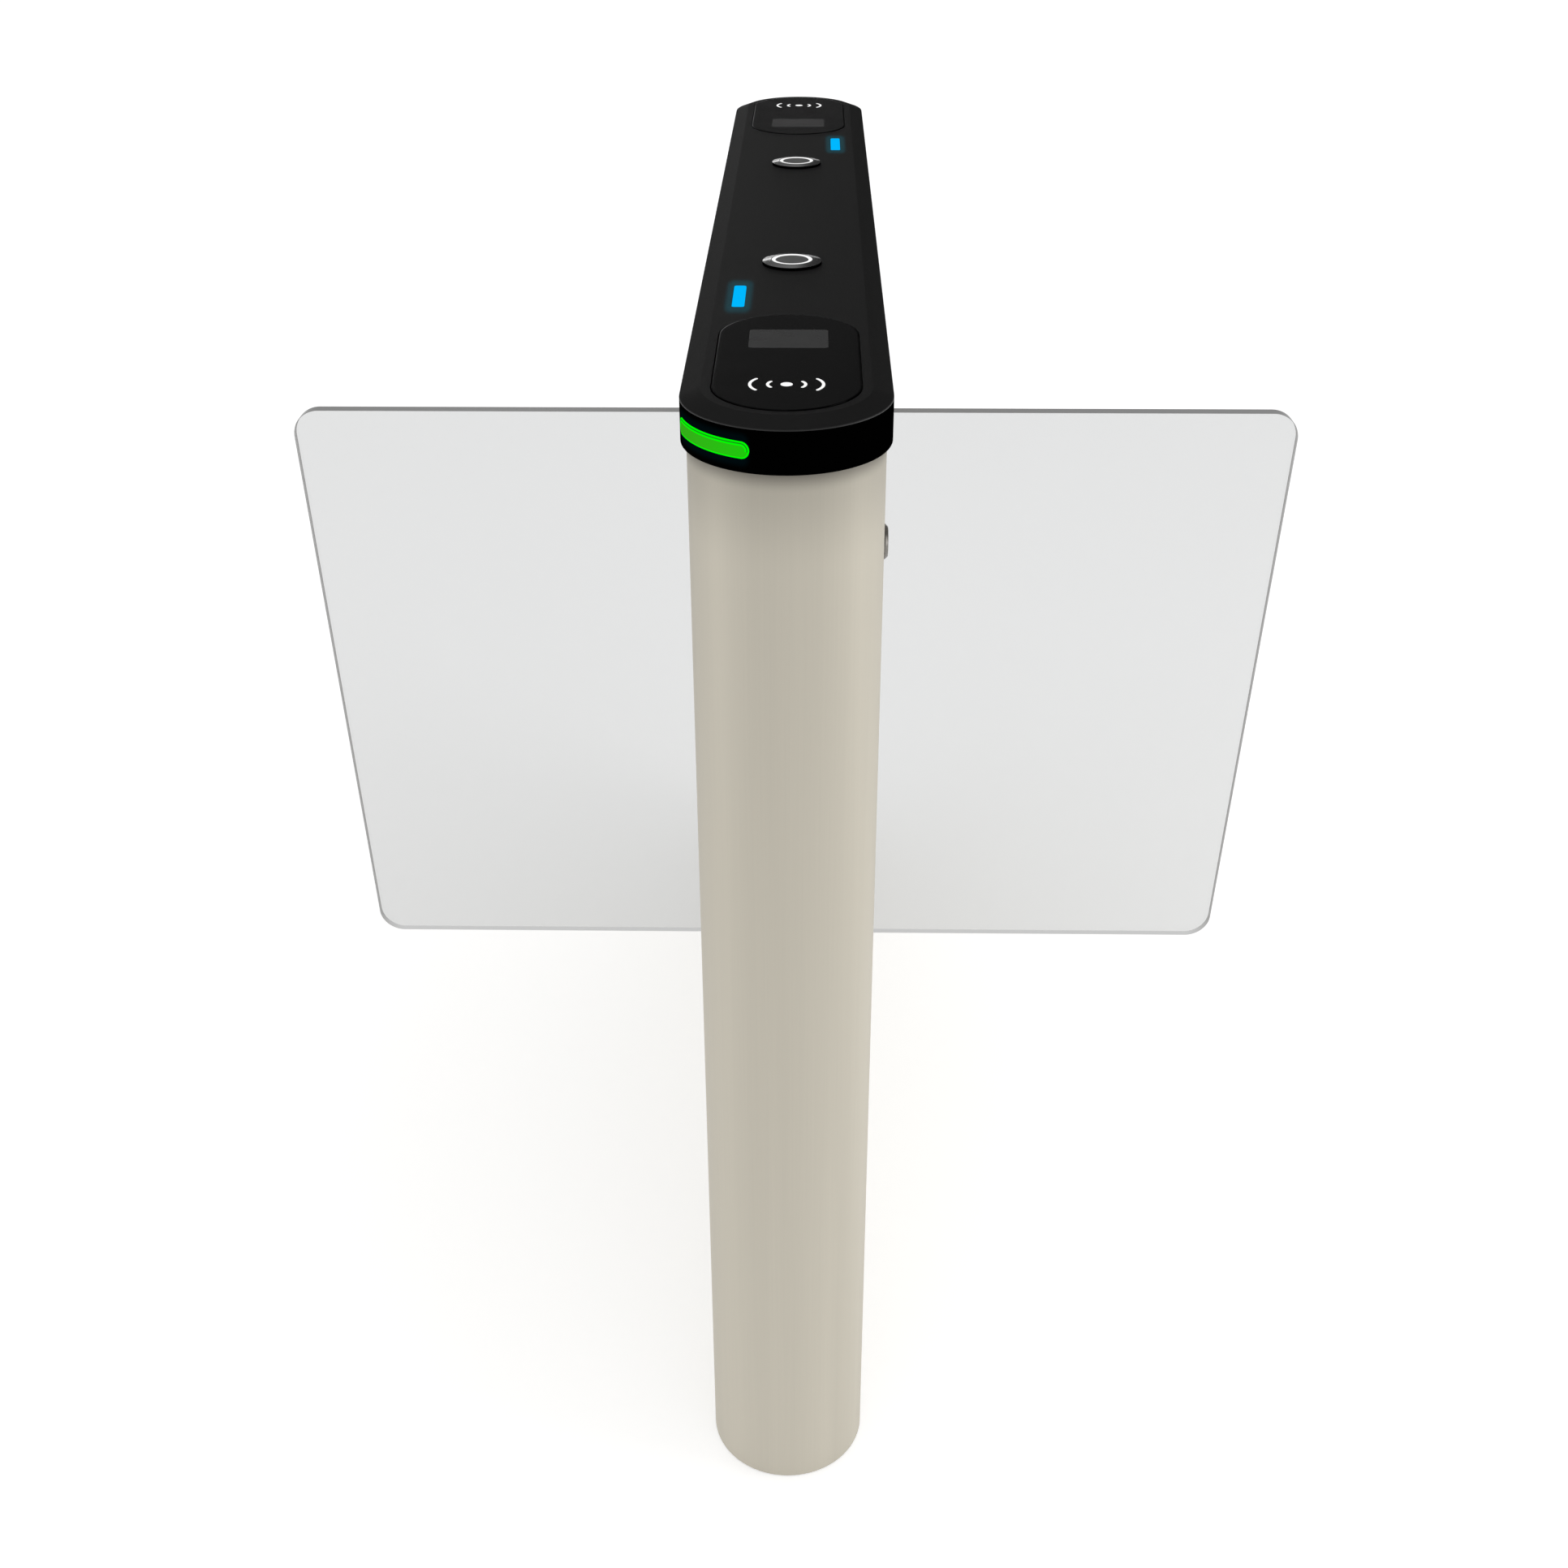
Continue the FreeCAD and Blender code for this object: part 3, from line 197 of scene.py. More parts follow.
class GateStage(PropertyGroup):
    """Camera, floor and light of the studio."""

    lens: FloatProperty(name="Lens", description="Focal length in millimetres", default=41.79, min=1)
    camera_place: FloatVectorProperty(
        name="Camera place", description="Where the camera stands", default=(0.01702, -1.69117, 1.38486),
        subtype="TRANSLATION", unit="LENGTH",
    )
    camera_right: FloatVectorProperty(
        name="Camera right", description="Direction to the right in the picture",
        default=(0.99988188, 0.0152558, -0.00186808), subtype="DIRECTION",
    )
    camera_up: FloatVectorProperty(
        name="Camera up", description="Direction upwards in the picture",
        default=(-0.00609914, 0.50540247, 0.86286218), subtype="DIRECTION",
    )
    floor_half: FloatProperty(name="Floor", description="Half width of the floor", default=40, unit="LENGTH")
    floor_shade: FloatProperty(name="Floor shade", description="Reflectance of the floor", default=0.85)
    floor_white: FloatProperty(name="Floor white", description="White that the floor adds", default=0.4)
    sky: FloatProperty(name="Sky", description="Strength of the even studio light", default=0.8)
    horizon: FloatProperty(name="Horizon", description="Mirrored light low down", default=1.3)
    ceiling: FloatProperty(name="Ceiling", description="Mirrored light higher up", default=0.04)
    zenith: FloatProperty(name="Zenith", description="Mirrored light overhead", default=0.22)
    softbox: FloatProperty(name="Softbox", description="Mirrored box behind on the left", default=1.3)
    key_power: FloatProperty(name="Key light", description="Power on the left", default=4, unit="POWER")
    fill_power: FloatProperty(name="Fill light", description="Power on the right", default=15, unit="POWER")


# Surfaces
Surface = namedtuple("Surface", "points faces finish", defaults=(0,))


def grown_polygon(corners, steps=48, along=0):
    """Feet and outward directions of a convex polygon's outline, to be grown by a radius.

    At each corner the direction turns evenly from the normal of the side before it to the normal of the side
    after it, and on a side it stays that side's normal. One corner gives a circle, two give an obround and
    four a rectangle with round corners. Corners run anticlockwise. steps is the number of points at each
    corner, and along the number inside each side.
    """
    corners = np.asarray(corners, float)
    side = np.roll(corners, -1, axis=0) - corners
    after = np.arctan2(-side[:, 0], side[:, 1])
    turn = (after - np.roll(after, 1)) % math.tau
    turn[turn < 1e-9] = math.tau
    share = np.arange(steps) / (steps - (len(corners) > 1))
    angle = (after - turn)[:, None] + turn[:, None] * share
    angle = np.hstack((angle, np.repeat(after[:, None], along, axis=1)))
    walked = np.hstack((np.zeros(steps), (np.arange(along) + 1) / (along + 1)))
    feet = corners[:, None, :] + side[:, None, :] * walked[None, :, None]
    out = np.stack((np.cos(angle), np.sin(angle)), axis=-1)
    return feet.reshape(-1, 2), out.reshape(-1, 2)


def outline_path(outline):
    """Feet and outward directions of any closed anticlockwise outline.

    A direction is the sum of the unit normals of the two sides that meet at the point, over one plus the
    cosine between them, so that moving along it by a distance moves both sides by that distance.
    """
    side = np.roll(outline, -1, axis=0) - outline
    normal = np.column_stack((side[:, 1], -side[:, 0])) / np.linalg.norm(side, axis=1)[:, None]
    total = normal + np.roll(normal, 1, axis=0)
    return outline, total / (0.5 * (total**2).sum(axis=1))[:, None]


def rounded(corners, radii, steps=6, closed=False):
    """Line through corners, each replaced by an arc of its radius that touches both sides.

    The arc starts at radius over the tangent of half the corner's angle from the corner, and its points turn
    evenly about the centre, which lies on the bisector.
    """
    corners = np.asarray(corners, float)
    line = []
    for index, (corner, radius) in enumerate(zip(corners, radii)):
        inside = closed or 0 < index < len(corners) - 1
        if radius == 0 or not inside:
            line.append(corner[None, :])
            continue
        back = corners[index - 1] - corner
        on = corners[(index + 1) % len(corners)] - corner
        back /= np.linalg.norm(back)
        on /= np.linalg.norm(on)
        half = 0.5 * math.acos(np.clip(back @ on, -1, 1))
        middle = corner + (back + on) / np.linalg.norm(back + on) * radius / math.sin(half)
        first = corner + back * radius / math.tan(half) - middle
        last = corner + on * radius / math.tan(half) - middle
        sweep = math.pi - 2 * half
        share = np.linspace(0, 1, steps)[:, None]
        arc = (np.sin((1 - share) * sweep) * first + np.sin(share * sweep) * last) / math.sin(sweep)
        line.append(middle + arc)
    return np.vstack(line)


def carry(path, profile):
    """Grid of a profile carried along a path: foot plus radius times direction, at the profile's height."""
    feet, out = path
    profile = np.asarray(profile, float)
    flat_points = feet + profile[:, None, :1] * out
    lift = np.broadcast_to(profile[:, None, 1:], flat_points.shape[:2] + (1,))
    return np.concatenate((flat_points, lift), axis=2)


def skin(grid, finish=0, closed=True):
    """Four-sided faces of a grid, each between two neighbours of a row and the same two of the next row.

    A profile that runs up the outside, in over the top and down the inside has its faces outwards.
    """
    rows, columns = grid.shape[:2]
    number = np.arange(rows * columns).reshape(rows, columns)
    if closed:
        number = np.hstack((number, number[:, :1]))
    faces = np.stack((number[:-1, :-1], number[:-1, 1:], number[1:, 1:], number[1:, :-1]), axis=-1)
    return Surface(grid.reshape(-1, 3), faces.reshape(-1, 4), finish)


def level(loops, up=True, finish=0):
    """Level face inside the first loop and outside the others, in triangles that all face up or all down."""
    points = np.vstack(loops)
    triangles = np.array(tessellate_polygon([loop.tolist() for loop in loops]))
    first, second, third = np.moveaxis(points[triangles], 1, 0)
    rises = np.cross(second - first, third - first)[:, 2] > 0
    triangles[rises != up] = triangles[rises != up][:, ::-1]
    return Surface(points, triangles, finish)


def slab(path, radius, low, high, edge=0.0, under=0.0, steps=5, rim=0):
    """Closed slab on a path's outline: a level underside, a wall with rounded edges and a level top.

    The wall's profile goes in by one and a half edges at its bottom and its top. rim is the wall's finish.
    """
    inset = radius - 1.5 * max(edge, under, 0.2 * MM)
    corners = ((inset, low), (radius, low), (radius, high), (inset, high))
    grid = carry(path, rounded(corners, (0, under, edge, 0), steps))
    return [level([grid[0]], up=False), skin(grid, rim), level([grid[-1]])]


def ring(path, corners, radii, steps=5):
    """Closed ring: a closed profile with rounded corners carried along a path."""
    line = rounded(corners, radii, steps, closed=True)
    return [skin(carry(path, np.vstack((line, line[:1]))))]


def half_turn(surfaces):
    """The same surfaces on the other side of the gate: x and y change sign."""
    return [surface._replace(points=surface.points * (-1, -1, 1)) for surface in surfaces]


# What comes in pairs is as it was worked out at the front or on the right, and turned for its twin
ENDS = (("front", list), ("rear", half_turn))
SIDES = (("right", list), ("left", half_turn))


def sideways(surfaces):
    """Surfaces worked out in (y, z, reach) turned so that reach runs along +X."""
    return [surface._replace(points=surface.points[:, [2, 0, 1]]) for surface in surfaces]


def upright(surfaces):
    """Surfaces worked out in (x, z, reach) turned so that reach runs along -Y."""
    return [surface._replace(points=surface.points[:, [0, 2, 1]] * (1, -1, 1)) for surface in surfaces]


def sharpen_rims(mesh):
    """Marks edges of only one face as sharp, so that a sheet that is given a thickness keeps flat rims."""
    used = np.empty(len(mesh.loops), np.int32)
    mesh.loops.foreach_get("edge_index", used)
    sharp = np.empty(len(mesh.edges), bool)
    mesh.edges.foreach_get("use_edge_sharp", sharp)
    sharp |= np.bincount(used, minlength=len(mesh.edges)) == 1
    mesh.edges.foreach_set("use_edge_sharp", sharp)


def make_piece(name, surfaces, finishes, body, stands_for=(), crease=32):
    """One mesh from surfaces whose seams are merged, riding a body and standing for CAD nodes."""
    starts = np.cumsum([0] + [len(surface.points) for surface in surfaces])
    faces = []
    for surface, start in zip(surfaces, starts):
        faces += (surface.faces + start).tolist()
    mesh = bpy.data.meshes.new(name)
    mesh.from_pydata(np.vstack([surface.points for surface in surfaces]), [], faces)
    marks = np.concatenate([np.full(len(surface.faces), surface.finish) for surface in surfaces])
    mesh.polygons.foreach_set("material_index", marks.astype(np.int32))
    sewn = bmesh.new()
    sewn.from_mesh(mesh)
    bmesh.ops.remove_doubles(sewn, verts=sewn.verts, dist=0.002 * MM)
    bmesh.ops.dissolve_degenerate(sewn, edges=sewn.edges, dist=0.001 * MM)
    sewn.to_mesh(mesh)
    sewn.free()
    mesh.polygons.foreach_set("use_smooth", np.ones(len(mesh.polygons), bool))
    mesh.set_sharp_from_angle(angle=math.radians(crease))
    sharpen_rims(mesh)
    for finish in finishes:
        mesh.materials.append(finish)
    made = bpy.data.objects.new(name, mesh)
    bpy.context.scene.collection.objects.link(made)
    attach(made, body)
    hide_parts(*stands_for)
    return made


# Finishes
def put(tree, kind, sockets=None, **settings):
    """Adds a node, sets it, and fills its sockets with constants or with other nodes' outputs."""
    made = tree.nodes.new(kind)
    for key, value in settings.items():
        setattr(made, key, value)
    for key, value in (sockets or {}).items():
        if isinstance(value, bpy.types.NodeSocket):
            tree.links.new(value, made.inputs[key])
        else:
            made.inputs[key].default_value = value
    return made


def work_out(tree, operation, *values):
    """Output of one math node."""
    return put(tree, "ShaderNodeMath", dict(enumerate(values)), operation=operation).outputs[0]


def multiplied(tree, first, *others):
    """Output of math nodes that multiply values one after another."""
    for other in others:
        first = work_out(tree, "MULTIPLY", first, other)
    return first


def ranged(tree, value, start, stop, first, last, ease="LINEAR"):
    """A value carried from one range to another and held at both ends."""
    return put(tree, "ShaderNodeMapRange", {0: value, 1: start, 2: stop, 3: first, 4: last},
               interpolation_type=ease).outputs[0]


def object_place(tree):
    """Object coordinates of the surface."""
    return put(tree, "ShaderNodeTexCoord").outputs["Object"]


def split_place(tree):
    """The same coordinates as outputs X, Y and Z."""
    return put(tree, "ShaderNodeSeparateXYZ", {0: object_place(tree)}).outputs


def grain(tree, scale, detail=4.0, roughness=0.55):
    """Noise between 0 and 1, with its own scale in each direction."""
    mapped = put(tree, "ShaderNodeMapping", {"Vector": object_place(tree), "Scale": scale}).outputs[0]
    return put(tree, "ShaderNodeTexNoise",
               {"Vector": mapped, "Scale": 1.0, "Detail": detail, "Roughness": roughness}).outputs["Fac"]


def between(tree, share, low, high):
    """A share from 0.25 to 0.75, where noise mostly lies, carried to a range."""
    return ranged(tree, share, 0.25, 0.75, low, high)


def shades(tree, share, dark, light):
    """Colour from dark to light over a share from 0.25 to 0.75."""
    ramp = put(tree, "ShaderNodeValToRGB", {"Fac": share})
    ramp.color_ramp.elements[0].position = 0.25
    ramp.color_ramp.elements[0].color = (*dark, 1)
    ramp.color_ramp.elements[1].position = 0.75
    ramp.color_ramp.elements[1].color = (*light, 1)
    return ramp.outputs["Color"]


def scaled(tint, factor):
    """A colour made darker or lighter."""
    return tuple(min(1.0, channel * factor) for channel in tint)


def finish_of(name):
    """A new node material and its shader."""
    made = bpy.data.materials.new(name)
    made.use_nodes = True
    return made, made.node_tree, made.node_tree.nodes["Principled BSDF"]


def grained(name, tint, spread, gloss, scale, bump=0.0, bump_scale=(400, 400, 400), **constants):
    """A finish whose colour and roughness wander with one noise and whose surface has a finer one."""
    made, tree, shader = finish_of(name)
    wander = grain(tree, scale)
    shade = shades(tree, wander, scaled(tint, 1 - spread), scaled(tint, 1 + spread))
    tree.links.new(shade, shader.inputs["Base Color"])
    tree.links.new(between(tree, wander, *gloss), shader.inputs["Roughness"])
    if bump:
        fine = put(tree, "ShaderNodeBump",
                   {"Height": grain(tree, bump_scale), "Distance": bump, "Strength": 0.4})
        tree.links.new(fine.outputs[0], shader.inputs["Normal"])
    for socket, value in constants.items():
        shader.inputs[socket.replace("_", " ")].default_value = value
    return made


def stainless_finish(name, tints):
    """Satin brushed sheet: upright lines and broad soft bands, with painted light that makes it paler at the
    foot and a painted shadow under the cap.
    """
    made, tree, shader = finish_of(name)
    bands = grain(tree, (26, 26, 0.5), detail=2)
    lines = grain(tree, (700, 700, 5), detail=6, roughness=0.7)
    tint = tuple(tints.stainless)
    soft = shades(tree, bands, scaled(tint, 0.95), scaled(tint, 1.04))
    height = split_place(tree)["Z"]
    # Painted shadow of the cap's overhang: darkest just under the cap, fading out over 75 mm
    below = work_out(tree, "SUBTRACT", CAP_LOW[2], height)
    near = ranged(tree, below, 0.0, 14 * MM, 0.5, 1.0, "SMOOTHSTEP")
    far = ranged(tree, below, 0.0, 75 * MM, 0.8, 1.0, "SMOOTHSTEP")
    # Painted light: paler towards the foot, where light comes up off the floor, darker higher up
    painted_floor_light = ranged(tree, height, 0.0, 0.85 * CAP_TOP, 1.05, 0.96)
    hair = between(tree, lines, 0.97, 1.03)
    # Painted shadow and painted light, times the brush lines
    shade = multiplied(tree, near, far, painted_floor_light, hair)
    tone_with_painted_shade = put(tree, "ShaderNodeVectorMath", {0: soft, 1: shade}, operation="MULTIPLY").outputs[0]
    tree.links.new(tone_with_painted_shade, shader.inputs["Base Color"])
    tree.links.new(between(tree, lines, 0.5, 0.62), shader.inputs["Roughness"])
    brushed = put(tree, "ShaderNodeBump", {"Height": lines, "Distance": 0.02 * MM, "Strength": 0.25})
    tree.links.new(brushed.outputs[0], shader.inputs["Normal"])
    shader.inputs["Metallic"].default_value = 0.35
    shader.inputs["Specular IOR Level"].default_value = 0.25
    return made


def folded_place(tree):
    """Object coordinates as x, y and z of the rear half, with the front half turned onto it."""
    parts = split_place(tree)
    way = work_out(tree, "SIGN", parts["Y"])
    return work_out(tree, "MULTIPLY", parts["X"], way), work_out(tree, "ABSOLUTE", parts["Y"]), parts["Z"]


def painted_glow_round(tree, across, along, half_width, half_length, reach):
    """Painted glow round a rectangle: full up to a third of the reach from its sides, none at the full reach.
    """
    gaps = []
    for offset, half in ((across, half_width), (along, half_length)):
        beyond = work_out(tree, "SUBTRACT", work_out(tree, "ABSOLUTE", offset), half)
        gaps.append(work_out(tree, "MAXIMUM", beyond, 0.0))
    away = put(tree, "ShaderNodeCombineXYZ", dict(enumerate(gaps))).outputs[0]
    distance = put(tree, "ShaderNodeVectorMath", {0: away}, operation="LENGTH").outputs["Value"]
    return ranged(tree, distance, reach / 3, reach, 1.0, 0.0, "SMOOTHSTEP")


def cap_finish(name, tints, shape):
    """Matt moulding with a fine grain, and on it the lenses' light painted as a glow, which runs further
    along than across.
    """
    made, tree, shader = finish_of(name)
    speckle = grain(tree, (900, 900, 900), detail=3, roughness=0.6)
    tint = tuple(tints.cap)
    tree.links.new(shades(tree, speckle, scaled(tint, 0.7), scaled(tint, 1.35)), shader.inputs["Base Color"])
    tree.links.new(between(tree, speckle, 0.5, 0.62), shader.inputs["Roughness"])
    rough = put(tree, "ShaderNodeBump", {"Height": speckle, "Distance": 0.05 * MM, "Strength": 0.3})
    tree.links.new(rough.outputs[0], shader.inputs["Normal"])
    # Painted light: the lens's glow on the cap, drawn as emission round the lens
    x, y, _ = folded_place(tree)
    middle, half = (LENS_LOW + LENS_HIGH) / 2, (LENS_HIGH - LENS_LOW) / 2
    stretch = 3.0
    across = work_out(tree, "ADD", x, middle[0])
    along = work_out(tree, "DIVIDE", work_out(tree, "ADD", y, middle[1]), stretch)
    lit = painted_glow_round(tree, across, along, half[0], half[1] / stretch, shape.glow)
    shader.inputs["Emission Color"].default_value = (*tints.glow, 1)
    tree.links.new(lit, shader.inputs["Emission Strength"])
    shader.inputs["Specular IOR Level"].default_value = 0.4
    return made


def shaded_side_finish(name, tints, shape):
    """Dark satin side of the cap, the moulding's black made darker still as painted shade, with the lit
    strip's faint glow painted on it.
    """
    made, tree, shader = finish_of(name)
    speckle = grain(tree, (300, 300, 300))
    tint = tuple(tints.skirt)
    tree.links.new(shades(tree, speckle, scaled(tint, 0.8), scaled(tint, 1.2)), shader.inputs["Base Color"])
    tree.links.new(between(tree, speckle, 0.5, 0.6), shader.inputs["Roughness"])
    # Painted light: the lit strip's faint glow on the cap's side
    x, y, z = folded_place(tree)
    turned = work_out(tree, "ARCTAN2", x, work_out(tree, "SUBTRACT", y, CAP_END))
    middle = (shape.strip_start + shape.strip_end) / 2
    along = work_out(tree, "MULTIPLY", work_out(tree, "SUBTRACT", turned, middle), CAP_RADIUS)
    across = work_out(tree, "SUBTRACT", z, STRIP_Z)
    half = (shape.strip_start - shape.strip_end) / 2 * CAP_RADIUS
    lit = painted_glow_round(tree, across, along, STRIP_RADIUS, half, shape.glow)
    shader.inputs["Emission Color"].default_value = (*scaled(tints.glow, 0.09), 1)
    tree.links.new(lit, shader.inputs["Emission Strength"])
    shader.inputs["Specular IOR Level"].default_value = 0.0
    return made


def lit_finish(name, tint, far_tint=None):
    """A lit diffuser: its own colour, faintly uneven, or passing to another towards the gate's side."""
    made, tree, shader = finish_of(name)
    if far_tint:
        x, _, _ = folded_place(tree)
        share = ranged(tree, x, 0.3 * CAP_RADIUS, CAP_RADIUS, 0.25, 0.75)
        light = shades(tree, share, tint, far_tint)
    else:
        light = shades(tree, grain(tree, (60, 60, 60)), scaled(tint, 0.96), scaled(tint, 1.0))
    tree.links.new(light, shader.inputs["Emission Color"])
    shader.inputs["Emission Strength"].default_value = 1.0
    shader.inputs["Base Color"].default_value = (*scaled(tint, 0.02), 1)
    shader.inputs["Specular IOR Level"].default_value = 0.0
    return made


def glass_finish(name, tint):
    """Clear glass with a faint tint and barely uneven polish."""
    made, tree, shader = finish_of(name)
    wander = grain(tree, (9, 9, 9), detail=2)
    tree.links.new(shades(tree, wander, scaled(tint, 0.995), scaled(tint, 1.0)), shader.inputs["Base Color"])
    tree.links.new(between(tree, wander, 0.0, 0.02), shader.inputs["Roughness"])
    shader.inputs["Transmission Weight"].default_value = 1.0
    shader.inputs["IOR"].default_value = 1.45
    return made


def ground_finish(name, tint):
    """Ground edges of the glass, with a painted glow for the light that the pane carries to them, most at its
    foot.
    """
    made = grained(name, tint, 0.02, (0.3, 0.4), (90, 90, 90), Specular_IOR_Level=0.2,
                   Emission_Color=(*tint, 1))
    tree = made.node_tree
    height = split_place(tree)["Z"]
    low, high, fade = GLASS_LOW[2], GLASS_HIGH[2], 20 * MM
    # Painted light: the edges' glow is strongest at the pane's foot and weakest at its top
    foot = ranged(tree, height, low, low + fade, 2.3, 1.0)
    crown = ranged(tree, height, high - fade, high, 1.5, 0.8)
    tree.links.new(multiplied(tree, foot, crown), tree.nodes["Principled BSDF"].inputs["Emission Strength"])
    return made


def make_finish(name, tints, shape):
    """The material of that name."""
    if name == "stainless":
        return stainless_finish(name, tints)
    if name == "cap_black":
        return cap_finish(name, tints, shape)
    if name == "cap_side_shade_and_glow":
        return shaded_side_finish(name, tints, shape)
    if name == "wing_glass":
        return glass_finish(name, tuple(tints.glass))
    if name == "glass_edge":
        return ground_finish(name, tuple(tints.glass_edge))
    lit = {
        "light_blue": (tints.blue,),
        "light_green": (tints.green, tints.green_side),
        "green_line": (tints.green_line,),
        "green_band": (tints.green_band,),
        "light_white": (tints.white,),
    }
    if name in lit:
        return lit_finish(name, *(tuple(tint) for tint in lit[name]))
    black = {"Specular_IOR_Level": 0.5}
    smoked = {"Specular_IOR_Level": 0.08}
    steel = {"Metallic": 1.0}
    satin = {"Metallic": 0.75}
    # Colour, its spread, roughness from and to, scale of the grain, height of the bump, and constants
    table = {
        "reader_black": (tints.plate, 0.1, (0.1, 0.16), (40, 40, 40), 0.0, smoked),
        "display_grey": (tints.display, 0.06, (0.12, 0.2), (60, 60, 60), 0.0, smoked),
        "bezel_chrome": (tints.chrome, 0.12, (0.1, 0.2), (60, 900, 60), 0.0, {"Metallic": 0.96}),
        "button_steel": (tints.button, 0.2, (0.3, 0.42), (60, 900, 60), 0.01 * MM, satin),
        "lock_chrome": ((0.17, 0.16, 0.145), 0.06, (0.2, 0.3), (200, 200, 200), 0.0, {"Metallic": 0.5}),
        "rubber_black": (tints.rubber, 0.15, (0.55, 0.7), (150, 150, 150), 0.03 * MM, black),
        "column_steel": (tints.column, 0.06, (0.26, 0.36), (500, 500, 6), 0.01 * MM, steel),
        "frame_grey": ((0.2, 0.21, 0.22), 0.08, (0.4, 0.5), (120, 120, 120), 0.04 * MM, {}),
        "bracket_aluminium": ((0.55, 0.55, 0.56), 0.06, (0.3, 0.42), (90, 600, 90), 0.02 * MM, steel),
        "bush_bronze": ((0.5, 0.33, 0.12), 0.08, (0.25, 0.35), (300, 300, 300), 0.0, steel),
        "gear_steel": ((0.35, 0.35, 0.36), 0.1, (0.25, 0.4), (250, 250, 250), 0.0, steel),
        "motor_black": ((0.03, 0.03, 0.03), 0.15, (0.35, 0.45), (100, 100, 100), 0.02 * MM, {}),
        "board_green": ((0.02, 0.12, 0.05), 0.2, (0.35, 0.5), (220, 220, 220), 0.0, {}),
        "supply_aluminium": ((0.5, 0.5, 0.5), 0.06, (0.35, 0.45), (60, 60, 400), 0.0, steel),
        "switch_black": ((0.02, 0.02, 0.02), 0.15, (0.45, 0.55), (150, 150, 150), 0.0, {}),
        "sensor_dark": ((0.02, 0.006, 0.01), 0.1, (0.06, 0.12), (90, 90, 90), 0.0, black),
        "fixing_zinc": ((0.5, 0.5, 0.48), 0.1, (0.3, 0.42), (350, 350, 350), 0.0, steel),
    }
    tint, spread, gloss, scale, bump, constants = table[name]
    return grained(name, tuple(tint), spread, gloss, scale, bump, **constants)


def finish(name):
    """The material of that name, made on its first use."""
    scene = bpy.context.scene
    return bpy.data.materials.get(name) or make_finish(name, scene.gate_finish, scene.gate_shape)


def own_materials():
    """Clears the plain materials that came with the frame, so that the finishes can take their names."""
    for node in frame["nodes"].values():
        node.data.materials.clear()
    for material in list(bpy.data.materials):
        bpy.data.materials.remove(material)


# Pieces
class GATE_OT_fittings(Operator):
    """Gives every CAD node its finish"""

    bl_idname = "gate.fittings"
    bl_label = "Frame and fittings"

    def execute(self, context):
        own_materials()
        for name, node in frame["nodes"].items():
            node.data.materials.append(finish(SLOT_OF[name]))
        return {"FINISHED"}


class GATE_OT_shells(Operator):
    """Builds the two stainless shells, open at the seam, the foot, the top and the hinge trays"""

    bl_idname = "gate.shells"
    bl_label = "Shells"

    def execute(self, context):
        shape = context.scene.gate_shape
        turn = np.linspace(math.pi, math.tau, 97)
        bow = np.column_stack((BODY_RADIUS * np.cos(turn), BODY_RADIUS * np.sin(turn) - CAP_END))
        side_y = np.array([-shape.seam / 2, TRAY_LOW[1], 0.5 * (TRAY_LOW[1] - CAP_END)])
        side = np.column_stack((np.full(3, BODY_RADIUS), side_y))
        path = np.vstack((side * (-1, 1), bow, side[::-1]))
        heights = np.array([SHELL_LOW[2], TRAY_LOW[2], TRAY_HIGH[2], SHELL_HIGH[2]])
        grid = np.dstack((np.broadcast_to(path, (4, *path.shape)),
                          np.broadcast_to(heights[:, None], (4, len(path)))))
        sheet = skin(grid, closed=False)
        kept = np.ones((3, len(path) - 1), bool)
        kept[1, [0, -1]] = False
        sheet = sheet._replace(faces=sheet.faces[kept.ravel()])
        for end, turned in ENDS:
            made = make_piece(f"shell_skin_{end}", turned([sheet]), [finish("stainless")], "pedestal",
                              [f"{end}_shell"])
            wall = made.modifiers.new("Sheet", "SOLIDIFY")
            wall.thickness = shape.sheet
            wall.offset = -1
            wall.use_even_offset = True
        return {"FINISHED"}


def plate_path(steps=64):
    """Path of the front reader plate's outline."""
    return grown_polygon(((0, PLATE_ENDS[0]), (0, PLATE_ENDS[1])), steps)


def tile_path(low, high, corner, steps=12):
    """Path of a rectangle with round corners between two corners of a box."""
    low, high = low[:2] + corner, high[:2] - corner
    return grown_polygon((low, (high[0], low[1]), high, (low[0], high[1])), steps)


def display_path(shape):
    """Path of the front display window's outline."""
    return tile_path(DISPLAY_LOW, DISPLAY_HIGH, shape.display_corner)


def lens_path(shape):
    """Path of the front lane lens's outline."""
    return tile_path(LENS_LOW, LENS_HIGH, shape.lens_corner)


def button_path(steps=128):
    """Path of the front button's circles."""
    return grown_polygon(((0, BUTTON_Y),), steps)


